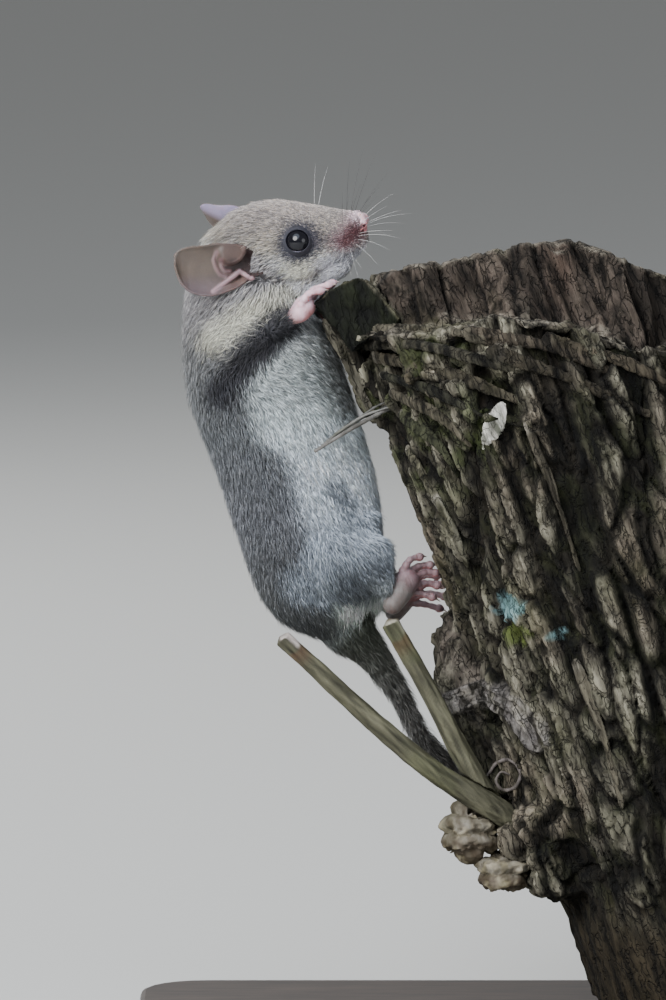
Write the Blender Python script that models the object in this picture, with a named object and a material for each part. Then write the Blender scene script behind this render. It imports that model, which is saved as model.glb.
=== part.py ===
"""A sichuan dormouse that climbs a leaning, broken tree trunk, life size, on a display stand.

The animal is modelled whole and parted with thin cuts into the pieces that a person would
name. Places are given as a picture of the model is read, seen level from its right side and
a little from above: millimetres to the right of the stand's middle, millimetres up, and the
depth away from the viewer. Metres are made of them once, in the function at().
"""

import math

import bmesh
import bpy
import numpy as np
from mathutils import Matrix, Vector, noise

MM = 0.001
GAP = 0.3
VIEW_TILT = math.radians(6.0)
PICTURE_LIFT = 2.4

# Ways to tidy a cut body, tried in turn: longest edge that is closed up, and how faces are cut
TIDY_WAYS = ((0.002, "BEAUTY"), (0.002, "EAR_CLIP"), (0.0005, "BEAUTY"), (0.0005, "EAR_CLIP"),
             (0.0, "EAR_CLIP"))

# Stand, in millimetres
BASE_LENGTH = 150.0
BASE_DEPTH = 86.0
BASE_HEIGHT = 8.0
BASE_CORNER = 12.0
BASE_EDGE = 1.0
ROD_RADIUS = 2.6
ROD_PLACES = ((24.0, 6.0), (44.0, -6.0))

# Leaning trunk: middle line as (right, up), with its radius there
TRUNK_LINE = ((40.6, 5.0, 30.0), (37.0, 15.0, 30.0), (29.0, 38.0, 30.0), (18.5, 68.0, 30.5),
              (9.5, 94.0, 30.5), (3.0, 113.0, 31.0), (-2.0, 129.0, 31.5))
TRUNK_SIDES = 40
TRUNK_RINGS = 30
FURROW_DEPTH = 1.6

# Animal
BODY_DEPTH = 3.5
BODY_YAW = math.radians(14.0)
BODY_VOXEL = 0.65
BODY_BLUR = 14
BODY_TRIANGLES = 2200
REGION_VOXEL = 0.8
REGION_BLUR = 8
REGION_TRIANGLES = 130
HEAD_YAW = math.radians(12.0)
HEAD_ROLL = math.radians(18.0)
HEAD_PITCH = math.radians(3.0)
HEAD_VOXEL = 0.32
HEAD_TRIANGLES = 1500
EYE_RADIUS = 2.4
EYE_PLACE = (0.0, 5.2, 1.95)
LID_THICKNESS = 0.5
EAR_THICKNESS = 0.6


def clear_scene():
    for thing in list(bpy.data.objects):
        bpy.data.objects.remove(thing)


def at(right, up, depth):
    """A point of the model, in metres, from its place in the picture and its depth."""
    height = (up + PICTURE_LIFT - depth * math.sin(VIEW_TILT)) / math.cos(VIEW_TILT)
    return Vector((right, depth, height)) * MM


def finish_material(name, colour, roughness, metallic=0.0):
    material = bpy.data.materials.get(name)
    if material:
        return material
    material = bpy.data.materials.new(name)
    material.use_nodes = True
    shader = material.node_tree.nodes["Principled BSDF"]
    shader.inputs["Base Color"].default_value = (*colour, 1.0)
    shader.inputs["Roughness"].default_value = roughness
    shader.inputs["Metallic"].default_value = metallic
    return material


def add_object(name, vertices, faces):
    mesh = bpy.data.meshes.new(name)
    mesh.from_pydata([tuple(v) for v in vertices], [], faces)
    mesh.update()
    thing = bpy.data.objects.new(name, mesh)
    bpy.context.scene.collection.objects.link(thing)
    return thing


def object_of(name, bm):
    mesh = bpy.data.meshes.new(name)
    bm.to_mesh(mesh)
    bm.free()
    thing = bpy.data.objects.new(name, mesh)
    bpy.context.scene.collection.objects.link(thing)
    return thing


def remove(thing):
    mesh = thing.data
    bpy.data.objects.remove(thing)
    if mesh.users == 0:
        bpy.data.meshes.remove(mesh)


def apply_modifiers(thing):
    """Puts the evaluated mesh in the object and takes its modifiers away."""
    graph = bpy.context.evaluated_depsgraph_get()
    result = bpy.data.meshes.new_from_object(thing.evaluated_get(graph))
    old = thing.data
    thing.modifiers.clear()
    thing.data = result
    bpy.data.meshes.remove(old)
    return thing


def along(points, count):
    """Places evenly spaced in parameter on a smooth curve through rows of numbers."""
    rows = np.array(points, float)
    ends = np.vstack([2 * rows[0] - rows[1], rows, 2 * rows[-1] - rows[-2]])
    result = []
    for t in np.linspace(0, len(rows) - 1, count):
        i = min(int(t), len(rows) - 2)
        s = t - i
        p0, p1, p2, p3 = ends[i], ends[i + 1], ends[i + 2], ends[i + 3]
        result.append(0.5 * (2 * p1 + (p2 - p0) * s + (2 * p0 - 5 * p1 + 4 * p2 - p3) * s ** 2
                             + (3 * p1 - p0 - 3 * p2 + p3) * s ** 3))
    return np.array(result)


def tube(name, centres, sizes, flat=Vector((0.0, 1.0, 0.0)), sides=16):
    """A closed body round a line. sizes gives, at each centre, half of the thickness across
    and half along the direction flat. Both ends are drawn to a rounded tip."""
    centres = [Vector(c) for c in centres]
    count = len(centres)
    vertices = []
    for i, centre in enumerate(centres):
        ahead = centres[min(i + 1, count - 1)] - centres[max(i - 1, 0)]
        ahead.normalize()
        side = (flat - ahead * flat.dot(ahead)).normalized()
        across = ahead.cross(side)
        wide, deep = sizes[i]
        for k in range(sides):
            angle = 2 * math.pi * k / sides
            vertices.append(centre + across * (wide * math.cos(angle)) + side * (deep * math.sin(angle)))
    first = len(vertices)
    vertices.append(centres[0] - (centres[1] - centres[0]).normalized() * min(sizes[0]) * 0.5)
    vertices.append(centres[-1] + (centres[-1] - centres[-2]).normalized() * min(sizes[-1]) * 0.5)
    faces = []
    for i in range(count - 1):
        for k in range(sides):
            a = i * sides + k
            b = i * sides + (k + 1) % sides
            faces.append((a, b, b + sides, a + sides))
    for k in range(sides):
        a, b = k, (k + 1) % sides
        faces.append((b, a, first))
        faces.append(((count - 1) * sides + a, (count - 1) * sides + b, first + 1))
    thing = add_object(name, vertices, faces)
    outward(thing)
    return thing


def outward(thing):
    bm = bmesh.new()
    bm.from_mesh(thing.data)
    bmesh.ops.recalc_face_normals(bm, faces=bm.faces)
    bm.to_mesh(thing.data)
    bm.free()


def rounded(sizes, cap=3):
    """Sizes for a tube whose ends close in a dome over its first and last few rings."""
    result = [list(s) for s in sizes]
    for i in range(cap):
        share = math.sqrt(1 - (1 - (i + 0.35) / cap) ** 2)
        for row in (result[i], result[-1 - i]):
            row[0] *= share
            row[1] *= share
    return result


def limb(name, stations, count=14, sides=12):
    """A round body through stations of (point in metres, radius in millimetres)."""
    rows = [(*point, radius * MM) for point, radius in stations]
    path = along(rows, count)
    sizes = rounded([(row[3], row[3]) for row in path], 2)
    return tube(name, path[:, :3], sizes, sides=sides)


def ball(name, centre, radii, axes=None, detail=3):
    """An ellipsoid with radii in millimetres along its three axes."""
    bm = bmesh.new()
    bmesh.ops.create_icosphere(bm, subdivisions=detail, radius=1.0)
    turn = Matrix.Identity(3)
    if axes:
        turn = Matrix(axes).transposed()
    stretch = Matrix.Diagonal(Vector(radii) * MM)
    for vertex in bm.verts:
        vertex.co = Vector(centre) + turn @ (stretch @ vertex.co)
    return object_of(name, bm)


def join(name, things):
    """One object that holds the faces of several, which are removed."""
    bm = bmesh.new()
    for thing in things:
        bm.from_mesh(thing.data)
        remove(thing)
    return object_of(name, bm)


def fuse(name, things, voxel, blur):
    """Grows overlapping closed bodies together into one skin and evens it."""
    whole = join(name, things)
    grow = whole.modifiers.new("grow", "REMESH")
    grow.mode = "VOXEL"
    grow.voxel_size = voxel * MM
    even = whole.modifiers.new("even", "SMOOTH")
    even.factor = 0.5
    even.iterations = blur
    return apply_modifiers(whole)


def reduce_to(thing, triangles):
    few = thing.modifiers.new("few", "DECIMATE")
    thing.data.calc_loop_triangles()
    few.ratio = min(1.0, triangles / len(thing.data.loop_triangles))
    few.use_collapse_triangulate = True
    return apply_modifiers(thing)


def copy_of(name, thing):
    twin = bpy.data.objects.new(name, thing.data.copy())
    bpy.context.scene.collection.objects.link(twin)
    return twin


def boolean(thing, tools, operation):
    """Cuts, joins or crosses a body with closed bodies, which are removed."""
    if not boolean_step(thing, tools, operation):
        for tool in tools:
            if not boolean_step(thing, [tool], operation):
                raise RuntimeError(thing.name + " was not changed by " + tool.name)
    for tool in tools:
        remove(tool)
    return thing


def boolean_step(thing, tools, operation):
    """One Boolean with a collection of bodies. It is undone where it leaves no closed body."""
    group = bpy.data.collections.new("tools")
    bpy.context.scene.collection.children.link(group)
    for tool in tools:
        group.objects.link(tool)
    before = thing.data.copy()
    done = False
    for solver in ("EXACT", "MANIFOLD"):
        step = thing.modifiers.new(operation, "BOOLEAN")
        step.operation = operation
        step.solver = solver
        step.operand_type = "COLLECTION"
        step.collection = group
        keep_largest(apply_modifiers(thing))
        done = is_closed(thing)
        if done:
            break
        thing.data = before.copy()
    bpy.data.meshes.remove(before)
    bpy.data.collections.remove(group)
    return done


def is_closed(thing):
    """True where a body has faces and every edge joins just two of them."""
    bm = bmesh.new()
    bm.from_mesh(thing.data)
    closed = all_closed(bm)
    bm.free()
    return closed


def all_closed(bm):
    return len(bm.faces) > 3 and all(edge.is_manifold for edge in bm.edges)


def keep_largest(thing):
    """Keeps the largest closed surface of a body, drops loose scraps and makes it all triangles."""
    bm = bmesh.new()
    bm.from_mesh(thing.data)
    bmesh.ops.remove_doubles(bm, verts=bm.verts, dist=1e-7)
    seen = set()
    shells = []
    for start in bm.verts:
        if start.index in seen:
            continue
        seen.add(start.index)
        shell = [start]
        for vertex in shell:
            for edge in vertex.link_edges:
                other = edge.other_vert(vertex)
                if other.index not in seen:
                    seen.add(other.index)
                    shell.append(other)
        shells.append(shell)
    shells.sort(key=span, reverse=True)
    for shell in shells[1:]:
        bmesh.ops.delete(bm, geom=shell, context="VERTS")
    for distance, clipping in TIDY_WAYS:
        tried = bm.copy()
        if distance:
            bmesh.ops.dissolve_degenerate(tried, edges=tried.edges, dist=distance * MM)
        bmesh.ops.triangulate(tried, faces=tried.faces, ngon_method=clipping)
        closed = all_closed(tried)
        tried.to_mesh(thing.data)
        tried.free()
        if closed:
            break
    bm.free()
    return thing


def span(shell):
    """Room that a shell of vertices takes, as the product of its sides."""
    rows = np.array([v.co for v in shell])
    return float(np.prod(rows.max(0) - rows.min(0)))


def half(thing, point, normal, keep_ahead):
    """Cuts a closed body at a plane and closes the cut, keeping one side."""
    bm = bmesh.new()
    bm.from_mesh(thing.data)
    geometry = bm.verts[:] + bm.edges[:] + bm.faces[:]
    bmesh.ops.bisect_plane(bm, geom=geometry, dist=1e-7, plane_co=point, plane_no=normal,
                           clear_inner=keep_ahead, clear_outer=not keep_ahead)
    open_edges = [e for e in bm.edges if len(e.link_faces) == 1]
    bmesh.ops.holes_fill(bm, edges=open_edges, sides=0)
    bmesh.ops.triangulate(bm, faces=bm.faces)
    bmesh.ops.recalc_face_normals(bm, faces=bm.faces)
    bm.to_mesh(thing.data)
    bm.free()
    return keep_largest(thing)


def split_at(thing, name, point, normal):
    """Takes the part behind a plane off a body as a new object, with a gap between them."""
    normal = normal.normalized()
    behind = half(copy_of(name, thing), point - normal * (GAP * MM / 2), normal, False)
    half(thing, point + normal * (GAP * MM / 2), normal, True)
    return behind


def grown(thing, distance=GAP):
    """A copy of a body that stands out by a distance in millimetres."""
    twin = copy_of("grown " + thing.name, thing)
    swell = twin.modifiers.new("swell", "DISPLACE")
    swell.strength = distance * MM
    swell.mid_level = 0.0
    return apply_modifiers(twin)


def paint(thing, name, colour, roughness, metallic=0.0):
    thing.data.materials.clear()
    thing.data.materials.append(finish_material(name, colour, roughness, metallic))
    thing.data.shade_smooth()
    thing.data.set_sharp_from_angle(angle=math.radians(50))
    return thing


# Directions of the body: towards the belly, and towards its right side, which faces the viewer
BELLY_WAY = Vector((math.cos(BODY_YAW), -math.sin(BODY_YAW), 0.0))
RIGHT_WAY = Vector((-math.sin(BODY_YAW), -math.cos(BODY_YAW), 0.0))


# Directions of the head: to the nose, to its right side, and up through the crown
side_way = Vector((-math.sin(HEAD_YAW), -math.cos(HEAD_YAW), 0.0))
NOSE_WAY = Vector((math.cos(HEAD_YAW) * math.cos(HEAD_PITCH), -math.sin(HEAD_YAW) * math.cos(HEAD_PITCH),
                   math.sin(HEAD_PITCH)))
upright = side_way.cross(NOSE_WAY)
CHEEK_WAY = side_way * math.cos(HEAD_ROLL) - upright * math.sin(HEAD_ROLL)
CROWN_WAY = side_way * math.sin(HEAD_ROLL) + upright * math.cos(HEAD_ROLL)
HEAD_AXES = (NOSE_WAY, CHEEK_WAY, CROWN_WAY)
HEAD_MIDDLE = at(-44.7, 146.5, BODY_DEPTH - 2.6)


def in_head(ahead, right, up):
    """A point of the head in metres, from millimetres ahead of the eyes, to the right and up."""
    return HEAD_MIDDLE + (NOSE_WAY * ahead + CHEEK_WAY * right + CROWN_WAY * up) * MM


# Torso: (right, up, half thickness from back to belly, half width from side to side)
TORSO = (
    (-40.0, 75.8, 4.2, 5.0),
    (-40.8, 79.6, 9.0, 9.0),
    (-41.6, 84.5, 11.6, 11.5),
    (-42.6, 90.5, 12.8, 13.0),
    (-44.2, 97.6, 13.5, 13.4),
    (-46.2, 104.8, 13.8, 13.4),
    (-48.6, 112.0, 14.0, 13.2),
    (-50.9, 118.3, 14.3, 12.8),
    (-52.8, 124.6, 14.0, 12.2),
    (-54.4, 130.0, 12.6, 11.4),
    (-55.4, 135.0, 11.2, 10.2),
    (-55.6, 140.0, 9.6, 8.8),
    (-54.5, 145.0, 7.6, 7.0),
)
NECK_ROWS = 6

# Head: (ahead of the eyes, up, half width, half height)
HEAD = (
    (-17.5, -2.6, 4.4, 4.2),
    (-15.5, -2.0, 6.6, 6.0),
    (-11.8, -0.9, 8.0, 7.2),
    (-8.1, -0.4, 8.2, 7.1),
    (-4.4, -0.35, 7.8, 6.9),
    (-0.7, -0.5, 7.0, 6.6),
    (3.0, -0.5, 5.9, 6.0),
    (4.8, -0.35, 5.2, 5.5),
    (6.7, 0.1, 4.4, 4.8),
    (8.5, 0.8, 3.6, 3.9),
    (10.3, 1.4, 2.8, 3.0),
    (11.2, 1.6, 1.9, 2.2),
)

# Round masses of the head: (ahead, right, up) and radii along the same ways; mirrored where right is not 0
HEAD_MASSES = (
    ((7.6, 2.0, 0.4), (3.2, 2.3, 3.0)),
    ((6.4, 0.0, -3.9), (3.8, 2.5, 2.0)),
    ((-1.0, 3.6, -3.4), (4.6, 3.4, 3.0)),
    ((3.4, 0.0, -5.2), (5.0, 3.8, 3.2)),
    ((-1.5, 0.0, -7.6), (6.4, 5.6, 5.0)),
)
NOSE_PAD = ((10.9, 0.0, 2.9), (1.3, 1.6, 1.3))
NOSTRIL = ((11.3, 1.25, 2.5), (0.85, 0.5, 0.4))
NOSTRIL_SLIT = ((10.9, 1.75, 2.25), (0.8, 0.4, 0.25))
EYE_OUT = (0.1, 0.9, 0.43)
LID_OPENING = (3.0, 2.4, 2.0)
LID_REACH = 2.4

# Line of the mouth on the right side: (ahead, right, up), from the middle of the lip to the corner
MOUTH = ((11.0, 0.0, -0.9), (10.5, 1.3, -1.4), (9.2, 2.5, -2.3), (7.4, 3.6, -2.6), (5.6, 4.6, -2.4))
LIP_RADIUS = 0.75
LIP_SHIFTS = (0.55, -0.75)
LIP_SINK = 0.35
MOUTH_WIDTH = 0.4
MOUTH_DEPTH = 0.9

# Ear: its root in the head, the ways to its tip, across it and out of its cup, all on the right side
EAR_ROOT_RIGHT = (-8.5, 8.2, -0.7)
EAR_ROOT_LEFT = (-8.9, 8.2, -1.5)
EAR_TIP_WAY = (-0.915, 0.352, 0.19)
EAR_CROSS_WAY = (0.034, -0.404, 0.912)
EAR_CUP_WAY = (0.398, 0.844, 0.359)
# (towards the tip, lower edge, upper edge, depth of the cup), in millimetres from the root
EAR = (
    (-2.6, -2.4, 0.6, 2.6),
    (-1.0, -2.9, 0.9, 2.6),
    (0.6, -3.9, 1.5, 2.5),
    (2.4, -5.1, 2.4, 2.1),
    (4.6, -6.0, 2.75, 1.7),
    (7.0, -6.6, 2.6, 1.4),
    (9.2, -6.5, 2.2, 1.2),
    (11.2, -5.8, 1.75, 1.0),
    (12.6, -4.5, 1.25, 0.7),
    (13.4, -2.9, 0.2, 0.4),
    (13.7, -1.8, -0.9, 0.2),
)
EAR_ACROSS = 8
EAR_STAND_OUT = 1.2

# Legs: (right, up, depth, radius). The right side faces the viewer.
ARM_RIGHT = ((-57.0, 131.0, -3.6, 5.2), (-59.4, 125.8, -6.8, 3.6))
FOREARM_RIGHT = ((-59.4, 125.8, -6.8, 3.6), (-52.6, 129.2, -7.8, 2.9), (-46.6, 132.3, -7.4, 1.6))
THIGH_RIGHT = ((-42.0, 86.0, -1.5, 8.0), (-38.0, 89.6, -3.0, 9.0), (-34.0, 92.0, -4.2, 7.2))
SHANK_RIGHT = ((-33.6, 91.6, -4.6, 6.2), (-31.2, 87.0, -6.4, 4.4), (-28.8, 81.8, -7.4, 2.2))
ARM_LEFT = ((-54.0, 131.0, 10.4, 5.2), (-54.0, 125.8, 13.4, 3.6))
FOREARM_LEFT = ((-54.0, 125.8, 13.4, 3.6), (-48.8, 129.0, 13.4, 2.8), (-43.8, 132.6, 11.8, 1.6))
THIGH_LEFT = ((-40.0, 83.0, 7.5, 8.0), (-36.4, 85.6, 9.5, 8.6), (-33.4, 87.6, 10.8, 6.2))
SHANK_LEFT = ((-33.2, 87.6, 11.2, 5.8), (-30.4, 83.2, 12.8, 4.0), (-28.4, 79.4, 12.6, 2.2))

# Hands and feet: the palm or sole, then each finger or toe; the last point is where its claw starts
HAND_RIGHT = ((-47.2, 130.9, -7.4, 1.6), (-45.8, 132.4, -7.2, 2.0), (-44.7, 133.8, -6.9, 2.1))
FINGERS_RIGHT = (
    ((-45.0, 134.2, -8.2, 0.95), (-43.8, 136.1, -9.0, 0.82), (-41.4, 136.8, -9.4, 0.72)),
    ((-44.5, 134.8, -7.4, 0.95), (-42.8, 136.9, -7.6, 0.82), (-39.9, 137.8, -7.7, 0.72)),
    ((-44.0, 134.9, -6.4, 0.95), (-42.0, 137.0, -6.0, 0.82), (-39.3, 138.2, -5.8, 0.72)),
    ((-44.0, 134.6, -5.4, 0.95), (-42.2, 136.6, -4.4, 0.82), (-39.9, 137.8, -3.8, 0.72)),
)
HAND_LEFT = ((-44.4, 131.0, 12.0, 1.6), (-43.0, 132.4, 11.2, 2.0), (-42.1, 133.6, 10.4, 2.1))
FINGERS_LEFT = (
    ((-42.5, 133.9, 11.9, 0.95), (-41.2, 135.6, 12.4, 0.82), (-38.9, 136.4, 12.8, 0.72)),
    ((-42.0, 134.5, 11.0, 0.95), (-40.4, 136.3, 10.9, 0.82), (-37.8, 137.1, 10.9, 0.72)),
    ((-41.6, 134.5, 10.0, 0.95), (-39.9, 136.3, 9.4, 0.82), (-37.3, 137.1, 9.1, 0.72)),
    ((-41.6, 134.2, 9.0, 0.95), (-40.1, 135.9, 7.8, 0.82), (-37.8, 136.7, 7.1, 0.72)),
)
FOOT_RIGHT = ((-28.7, 80.6, -7.8, 1.8), (-27.4, 82.6, -6.8, 2.1), (-26.2, 84.8, -5.2, 2.3))
TOES_RIGHT = (
    ((-26.8, 86.6, -5.8, 1.1), (-25.6, 88.6, -5.0, 0.95), (-23.6, 89.2, -3.6, 0.85)),
    ((-26.0, 86.0, -4.6, 1.0), (-24.2, 87.4, -3.4, 0.85), (-21.7, 87.7, -2.2, 0.75)),
    ((-25.4, 85.0, -4.2, 1.0), (-23.2, 86.2, -3.0, 0.85), (-20.7, 86.2, -1.9, 0.75)),
    ((-25.4, 83.8, -4.4, 1.0), (-23.0, 84.4, -3.2, 0.85), (-20.4, 83.9, -2.1, 0.75)),
    ((-26.2, 82.8, -5.0, 1.0), (-24.0, 82.6, -4.4, 0.85), (-21.3, 81.8, -3.6, 0.75)),
)
FOOT_LEFT = ((-28.2, 79.0, 12.8, 1.8), (-26.8, 81.0, 11.9, 2.1), (-25.6, 83.2, 10.6, 2.3))
TOES_LEFT = (
    ((-26.2, 84.8, 11.2, 1.1), (-24.4, 86.6, 10.8, 0.95), (-22.2, 87.2, 9.9, 0.85)),
    ((-25.4, 84.2, 10.2, 1.0), (-23.0, 85.6, 9.4, 0.85), (-20.3, 85.6, 8.7, 0.75)),
    ((-24.8, 83.2, 9.8, 1.0), (-22.0, 84.2, 9.0, 0.85), (-19.3, 83.9, 8.5, 0.75)),
    ((-24.6, 81.9, 10.0, 1.0), (-21.8, 82.4, 9.2, 0.85), (-18.9, 81.8, 8.7, 0.75)),
    ((-25.4, 80.8, 10.6, 1.0), (-22.8, 80.4, 10.2, 0.85), (-19.8, 79.6, 9.8, 0.75)),
)
CLAW_LENGTH = 1.5
CLAW_RADII = (0.42, 0.34, 0.2)
PAW_VOXEL = 0.2
PAW_ROOM = GAP + 0.25
ROOM_VOXEL = 0.3
ROOM_TRIANGLES = 360

# How each limb is parted off: room round it, length that its region reaches further towards its
# root, and distance of the parting plane from the spine, in millimetres
LIMB_CUTS = (("forearm", 1.1, 2.6, 6.0), ("upper_arm", 1.0, 0.0, 6.0), ("shank", 0.9, 4.5, 1.5),
             ("thigh", 1.2, 0.0, 4.0))
REGION_END = 3.0
REGION_GAP = 0.42
LEGS = {
    "right": {"upper_arm": ARM_RIGHT, "forearm": FOREARM_RIGHT, "thigh": THIGH_RIGHT, "shank": SHANK_RIGHT},
    "left": {"upper_arm": ARM_LEFT, "forearm": FOREARM_LEFT, "thigh": THIGH_LEFT, "shank": SHANK_LEFT},
}
PAWS = {
    "hand_right": (HAND_RIGHT, FINGERS_RIGHT, 440),
    "hand_left": (HAND_LEFT, FINGERS_LEFT, 400),
    "foot_right": (FOOT_RIGHT, TOES_RIGHT, 520),
    "foot_left": (FOOT_LEFT, TOES_LEFT, 460),
}

# Tail: (right, up, depth, radius)
TAIL = (
    (-40.4, 82.0, 4.5, 6.5),
    (-37.2, 76.8, 5.0, 5.6),
    (-32.6, 71.8, 6.0, 3.3),
    (-27.2, 63.8, 7.8, 2.3),
    (-23.6, 56.6, 11.0, 2.1),
    (-17.4, 50.2, 18.0, 2.2),
    (-9.0, 44.2, 27.0, 2.4),
    (2.0, 37.6, 34.5, 2.7),
    (13.0, 31.6, 37.5, 3.0),
    (23.0, 26.6, 37.0, 2.8),
    (30.0, 22.8, 35.5, 0.9),
)
TAIL_CUTS = (0.09, 0.34, 0.56, 0.78)
TAIL_STEPS = 56

# Planes that part the trunk of the body: (right, up) on the back and on the belly
HEAD_CUT = ((-65.5, 143.0), (-40.0, 138.4))
NECK_CUT = ((-67.0, 133.6), (-45.0, 130.6))
CHEST_CUT = ((-63.0, 110.5), (-35.0, 107.5))
BELLY_CUT = ((-58.0, 91.5), (-28.0, 99.5))


def picture_rows(rows):
    return [(at(right, up, depth), radius) for right, up, depth, radius in rows]


def torso_body(rows=TORSO):
    path = along([(*at(r, u, BODY_DEPTH), deep * MM, wide * MM) for r, u, deep, wide in rows], 3 * len(rows))
    return tube("torso", path[:, :3], [(row[3], row[4]) for row in path], flat=RIGHT_WAY, sides=32)


def head_body():
    path = along([(*in_head(a, 0.0, up), high * MM, wide * MM) for a, up, wide, high in HEAD], 40)
    return tube("skull", path[:, :3], [(row[3], row[4]) for row in path], flat=CHEEK_WAY, sides=32)


def head_masses():
    pieces = []
    for (ahead, right, up), radii in HEAD_MASSES:
        for side in ((1, -1) if right else (1,)):
            pieces.append(ball("mass", in_head(ahead, side * right, up), radii, HEAD_AXES, 2))
    return pieces


def tail_body(extra=0.0):
    return limb("tail", picture_rows([(r, u, d, s + extra) for r, u, d, s in TAIL]), TAIL_STEPS, 12)


def leg_bodies():
    return [
        limb("arm", picture_rows(ARM_RIGHT), 8),
        limb("arm", picture_rows(ARM_LEFT), 8),
        limb("forearm", picture_rows(FOREARM_RIGHT), 12),
        limb("forearm", picture_rows(FOREARM_LEFT), 12),
        limb("thigh", picture_rows(THIGH_RIGHT), 10, 16),
        limb("thigh", picture_rows(THIGH_LEFT), 10, 16),
        limb("shank", picture_rows(SHANK_RIGHT), 12),
        limb("shank", picture_rows(SHANK_LEFT), 12),
    ]


def whole_body():
    """The animal in one skin, without its ears, eyes, hands and feet."""
    pieces = [torso_body(), head_body(), tail_body()] + head_masses() + leg_bodies()
    whole = fuse("whole", pieces, BODY_VOXEL, BODY_BLUR)
    return reduce_to(whole, BODY_TRIANGLES)


def eye_centre(side):
    ahead, right, up = EYE_PLACE
    return in_head(ahead, side * right, up)


def eye_axes(side):
    out = (NOSE_WAY * EYE_OUT[0] + CHEEK_WAY * (side * EYE_OUT[1]) + CROWN_WAY * EYE_OUT[2]).normalized()
    ahead = (NOSE_WAY - out * NOSE_WAY.dot(out)).normalized()
    return out, ahead, out.cross(ahead)


def mouth_path(side):
    return [in_head(a, side * r, u) for a, r, u in along(MOUTH, 12)]


def lip_bodies():
    """Swellings above and below the line of the mouth."""
    pieces = []
    for side in (1, -1):
        path = mouth_path(side)
        for shift in LIP_SHIFTS:
            move = CROWN_WAY * (shift * MM) - CHEEK_WAY * (side * LIP_SINK * MM)
            stations = [(place + move, LIP_RADIUS) for place in path]
            pieces.append(limb("lip", stations, 16, 10))
    return pieces


def mouth_cutter(side):
    """A thin curved blade that sinks into the face along the line of the mouth."""
    path = mouth_path(side)
    centre = in_head(5.0, 0.0, -1.8)
    vertices = []
    for point in path:
        inward = centre - point
        inward -= CROWN_WAY * inward.dot(CROWN_WAY)
        inward.normalize()
        for reach in (-1.5, MOUTH_DEPTH):
            for lift in (-MOUTH_WIDTH / 2, MOUTH_WIDTH / 2):
                vertices.append(point + inward * (reach * MM) + CROWN_WAY * (lift * MM))
    faces = []
    for i in range(len(path) - 1):
        a = 4 * i
        for one, two in ((0, 1), (1, 3), (3, 2), (2, 0)):
            faces.append((a + one, a + two, a + 4 + two, a + 4 + one))
    last = 4 * (len(path) - 1)
    faces.append((0, 1, 3, 2))
    faces.append((last, last + 1, last + 3, last + 2))
    blade = add_object("blade", vertices, faces)
    outward(blade)
    return blade


def build_head():
    """The head with its lids, nose, nostrils, lips and the line of the mouth."""
    base = fuse("head", [torso_body(TORSO[-NECK_ROWS:]), head_body()] + head_masses(), HEAD_VOXEL * 1.4, 12)
    features = [base, ball("nose", in_head(*NOSE_PAD[0]), NOSE_PAD[1], HEAD_AXES)] + lip_bodies()
    for side in (1, -1):
        out, ahead, over = eye_axes(side)
        size = EYE_RADIUS + LID_THICKNESS
        features.append(ball("lid", eye_centre(side), (size - 0.1, size + 0.2, size - 0.1), (out, ahead, over)))
    head = fuse("head", features, HEAD_VOXEL, 3)
    reduce_to(head, HEAD_TRIANGLES)
    cutters = []
    for side in (1, -1):
        out, ahead, over = eye_axes(side)
        socket = EYE_RADIUS + GAP
        cutters.append(ball("socket", eye_centre(side), (socket,) * 3, detail=2))
        place = eye_centre(side) + out * (LID_REACH * MM)
        cutters.append(ball("opening", place, LID_OPENING, (out, ahead, over), 3))
        cutters.append(mouth_cutter(side))
        for (a, r, u), radii in (NOSTRIL, NOSTRIL_SLIT):
            cutters.append(ball("nostril", in_head(a, side * r, u), radii, HEAD_AXES, 2))
    boolean(head, cutters, "DIFFERENCE")
    head.name = "head"
    return head


def build_eye(name, side):
    return ball(name, eye_centre(side), (EYE_RADIUS,) * 3, detail=3)


def build_ear(name, side):
    """A thin cup on a curved root, open to the front and outside."""
    def way(values):
        return NOSE_WAY * values[0] + CHEEK_WAY * (side * values[1]) + CROWN_WAY * values[2]

    tip, cross, cup = way(EAR_TIP_WAY), way(EAR_CROSS_WAY), way(EAR_CUP_WAY)
    ahead, right, up = EAR_ROOT_RIGHT if side > 0 else EAR_ROOT_LEFT
    root = in_head(ahead, side * right, up)
    rows = along(EAR, 12)
    front, back = [], []
    for p, low, high, depth in rows:
        for j in range(EAR_ACROSS):
            s = -1 + 2 * j / (EAR_ACROSS - 1)
            q = (low + high) / 2 + s * (high - low) / 2
            hollow = depth * (1 - abs(s) ** 2.4)
            stand = EAR_STAND_OUT * (p / 13.0) * (0.5 - 0.5 * s)
            place = root + (tip * p + cross * q + cup * (stand - hollow)) * MM
            thick = EAR_THICKNESS * (0.75 + 0.5 * (1 - s * s) * (1 - max(p, 0.0) / 18.0))
            front.append(place)
            back.append(place - cup * (thick * MM) - cross * (0.25 * s * MM))
    count = len(rows)
    vertices = front + back
    shift = len(front)
    faces = []
    for i in range(count - 1):
        for j in range(EAR_ACROSS - 1):
            a = i * EAR_ACROSS + j
            b, c, d = a + 1, a + EAR_ACROSS + 1, a + EAR_ACROSS
            faces.append((a, b, c, d))
            faces.append((shift + d, shift + c, shift + b, shift + a))
    rim = [j for j in range(EAR_ACROSS)]
    rim += [i * EAR_ACROSS + EAR_ACROSS - 1 for i in range(1, count)]
    rim += [(count - 1) * EAR_ACROSS + j for j in range(EAR_ACROSS - 2, -1, -1)]
    rim += [i * EAR_ACROSS for i in range(count - 2, 0, -1)]
    for a, b in zip(rim, rim[1:] + rim[:1]):
        faces.append((a, b, shift + b, shift + a))
    ear = add_object(name, vertices, faces)
    outward(ear)
    return ear


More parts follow.
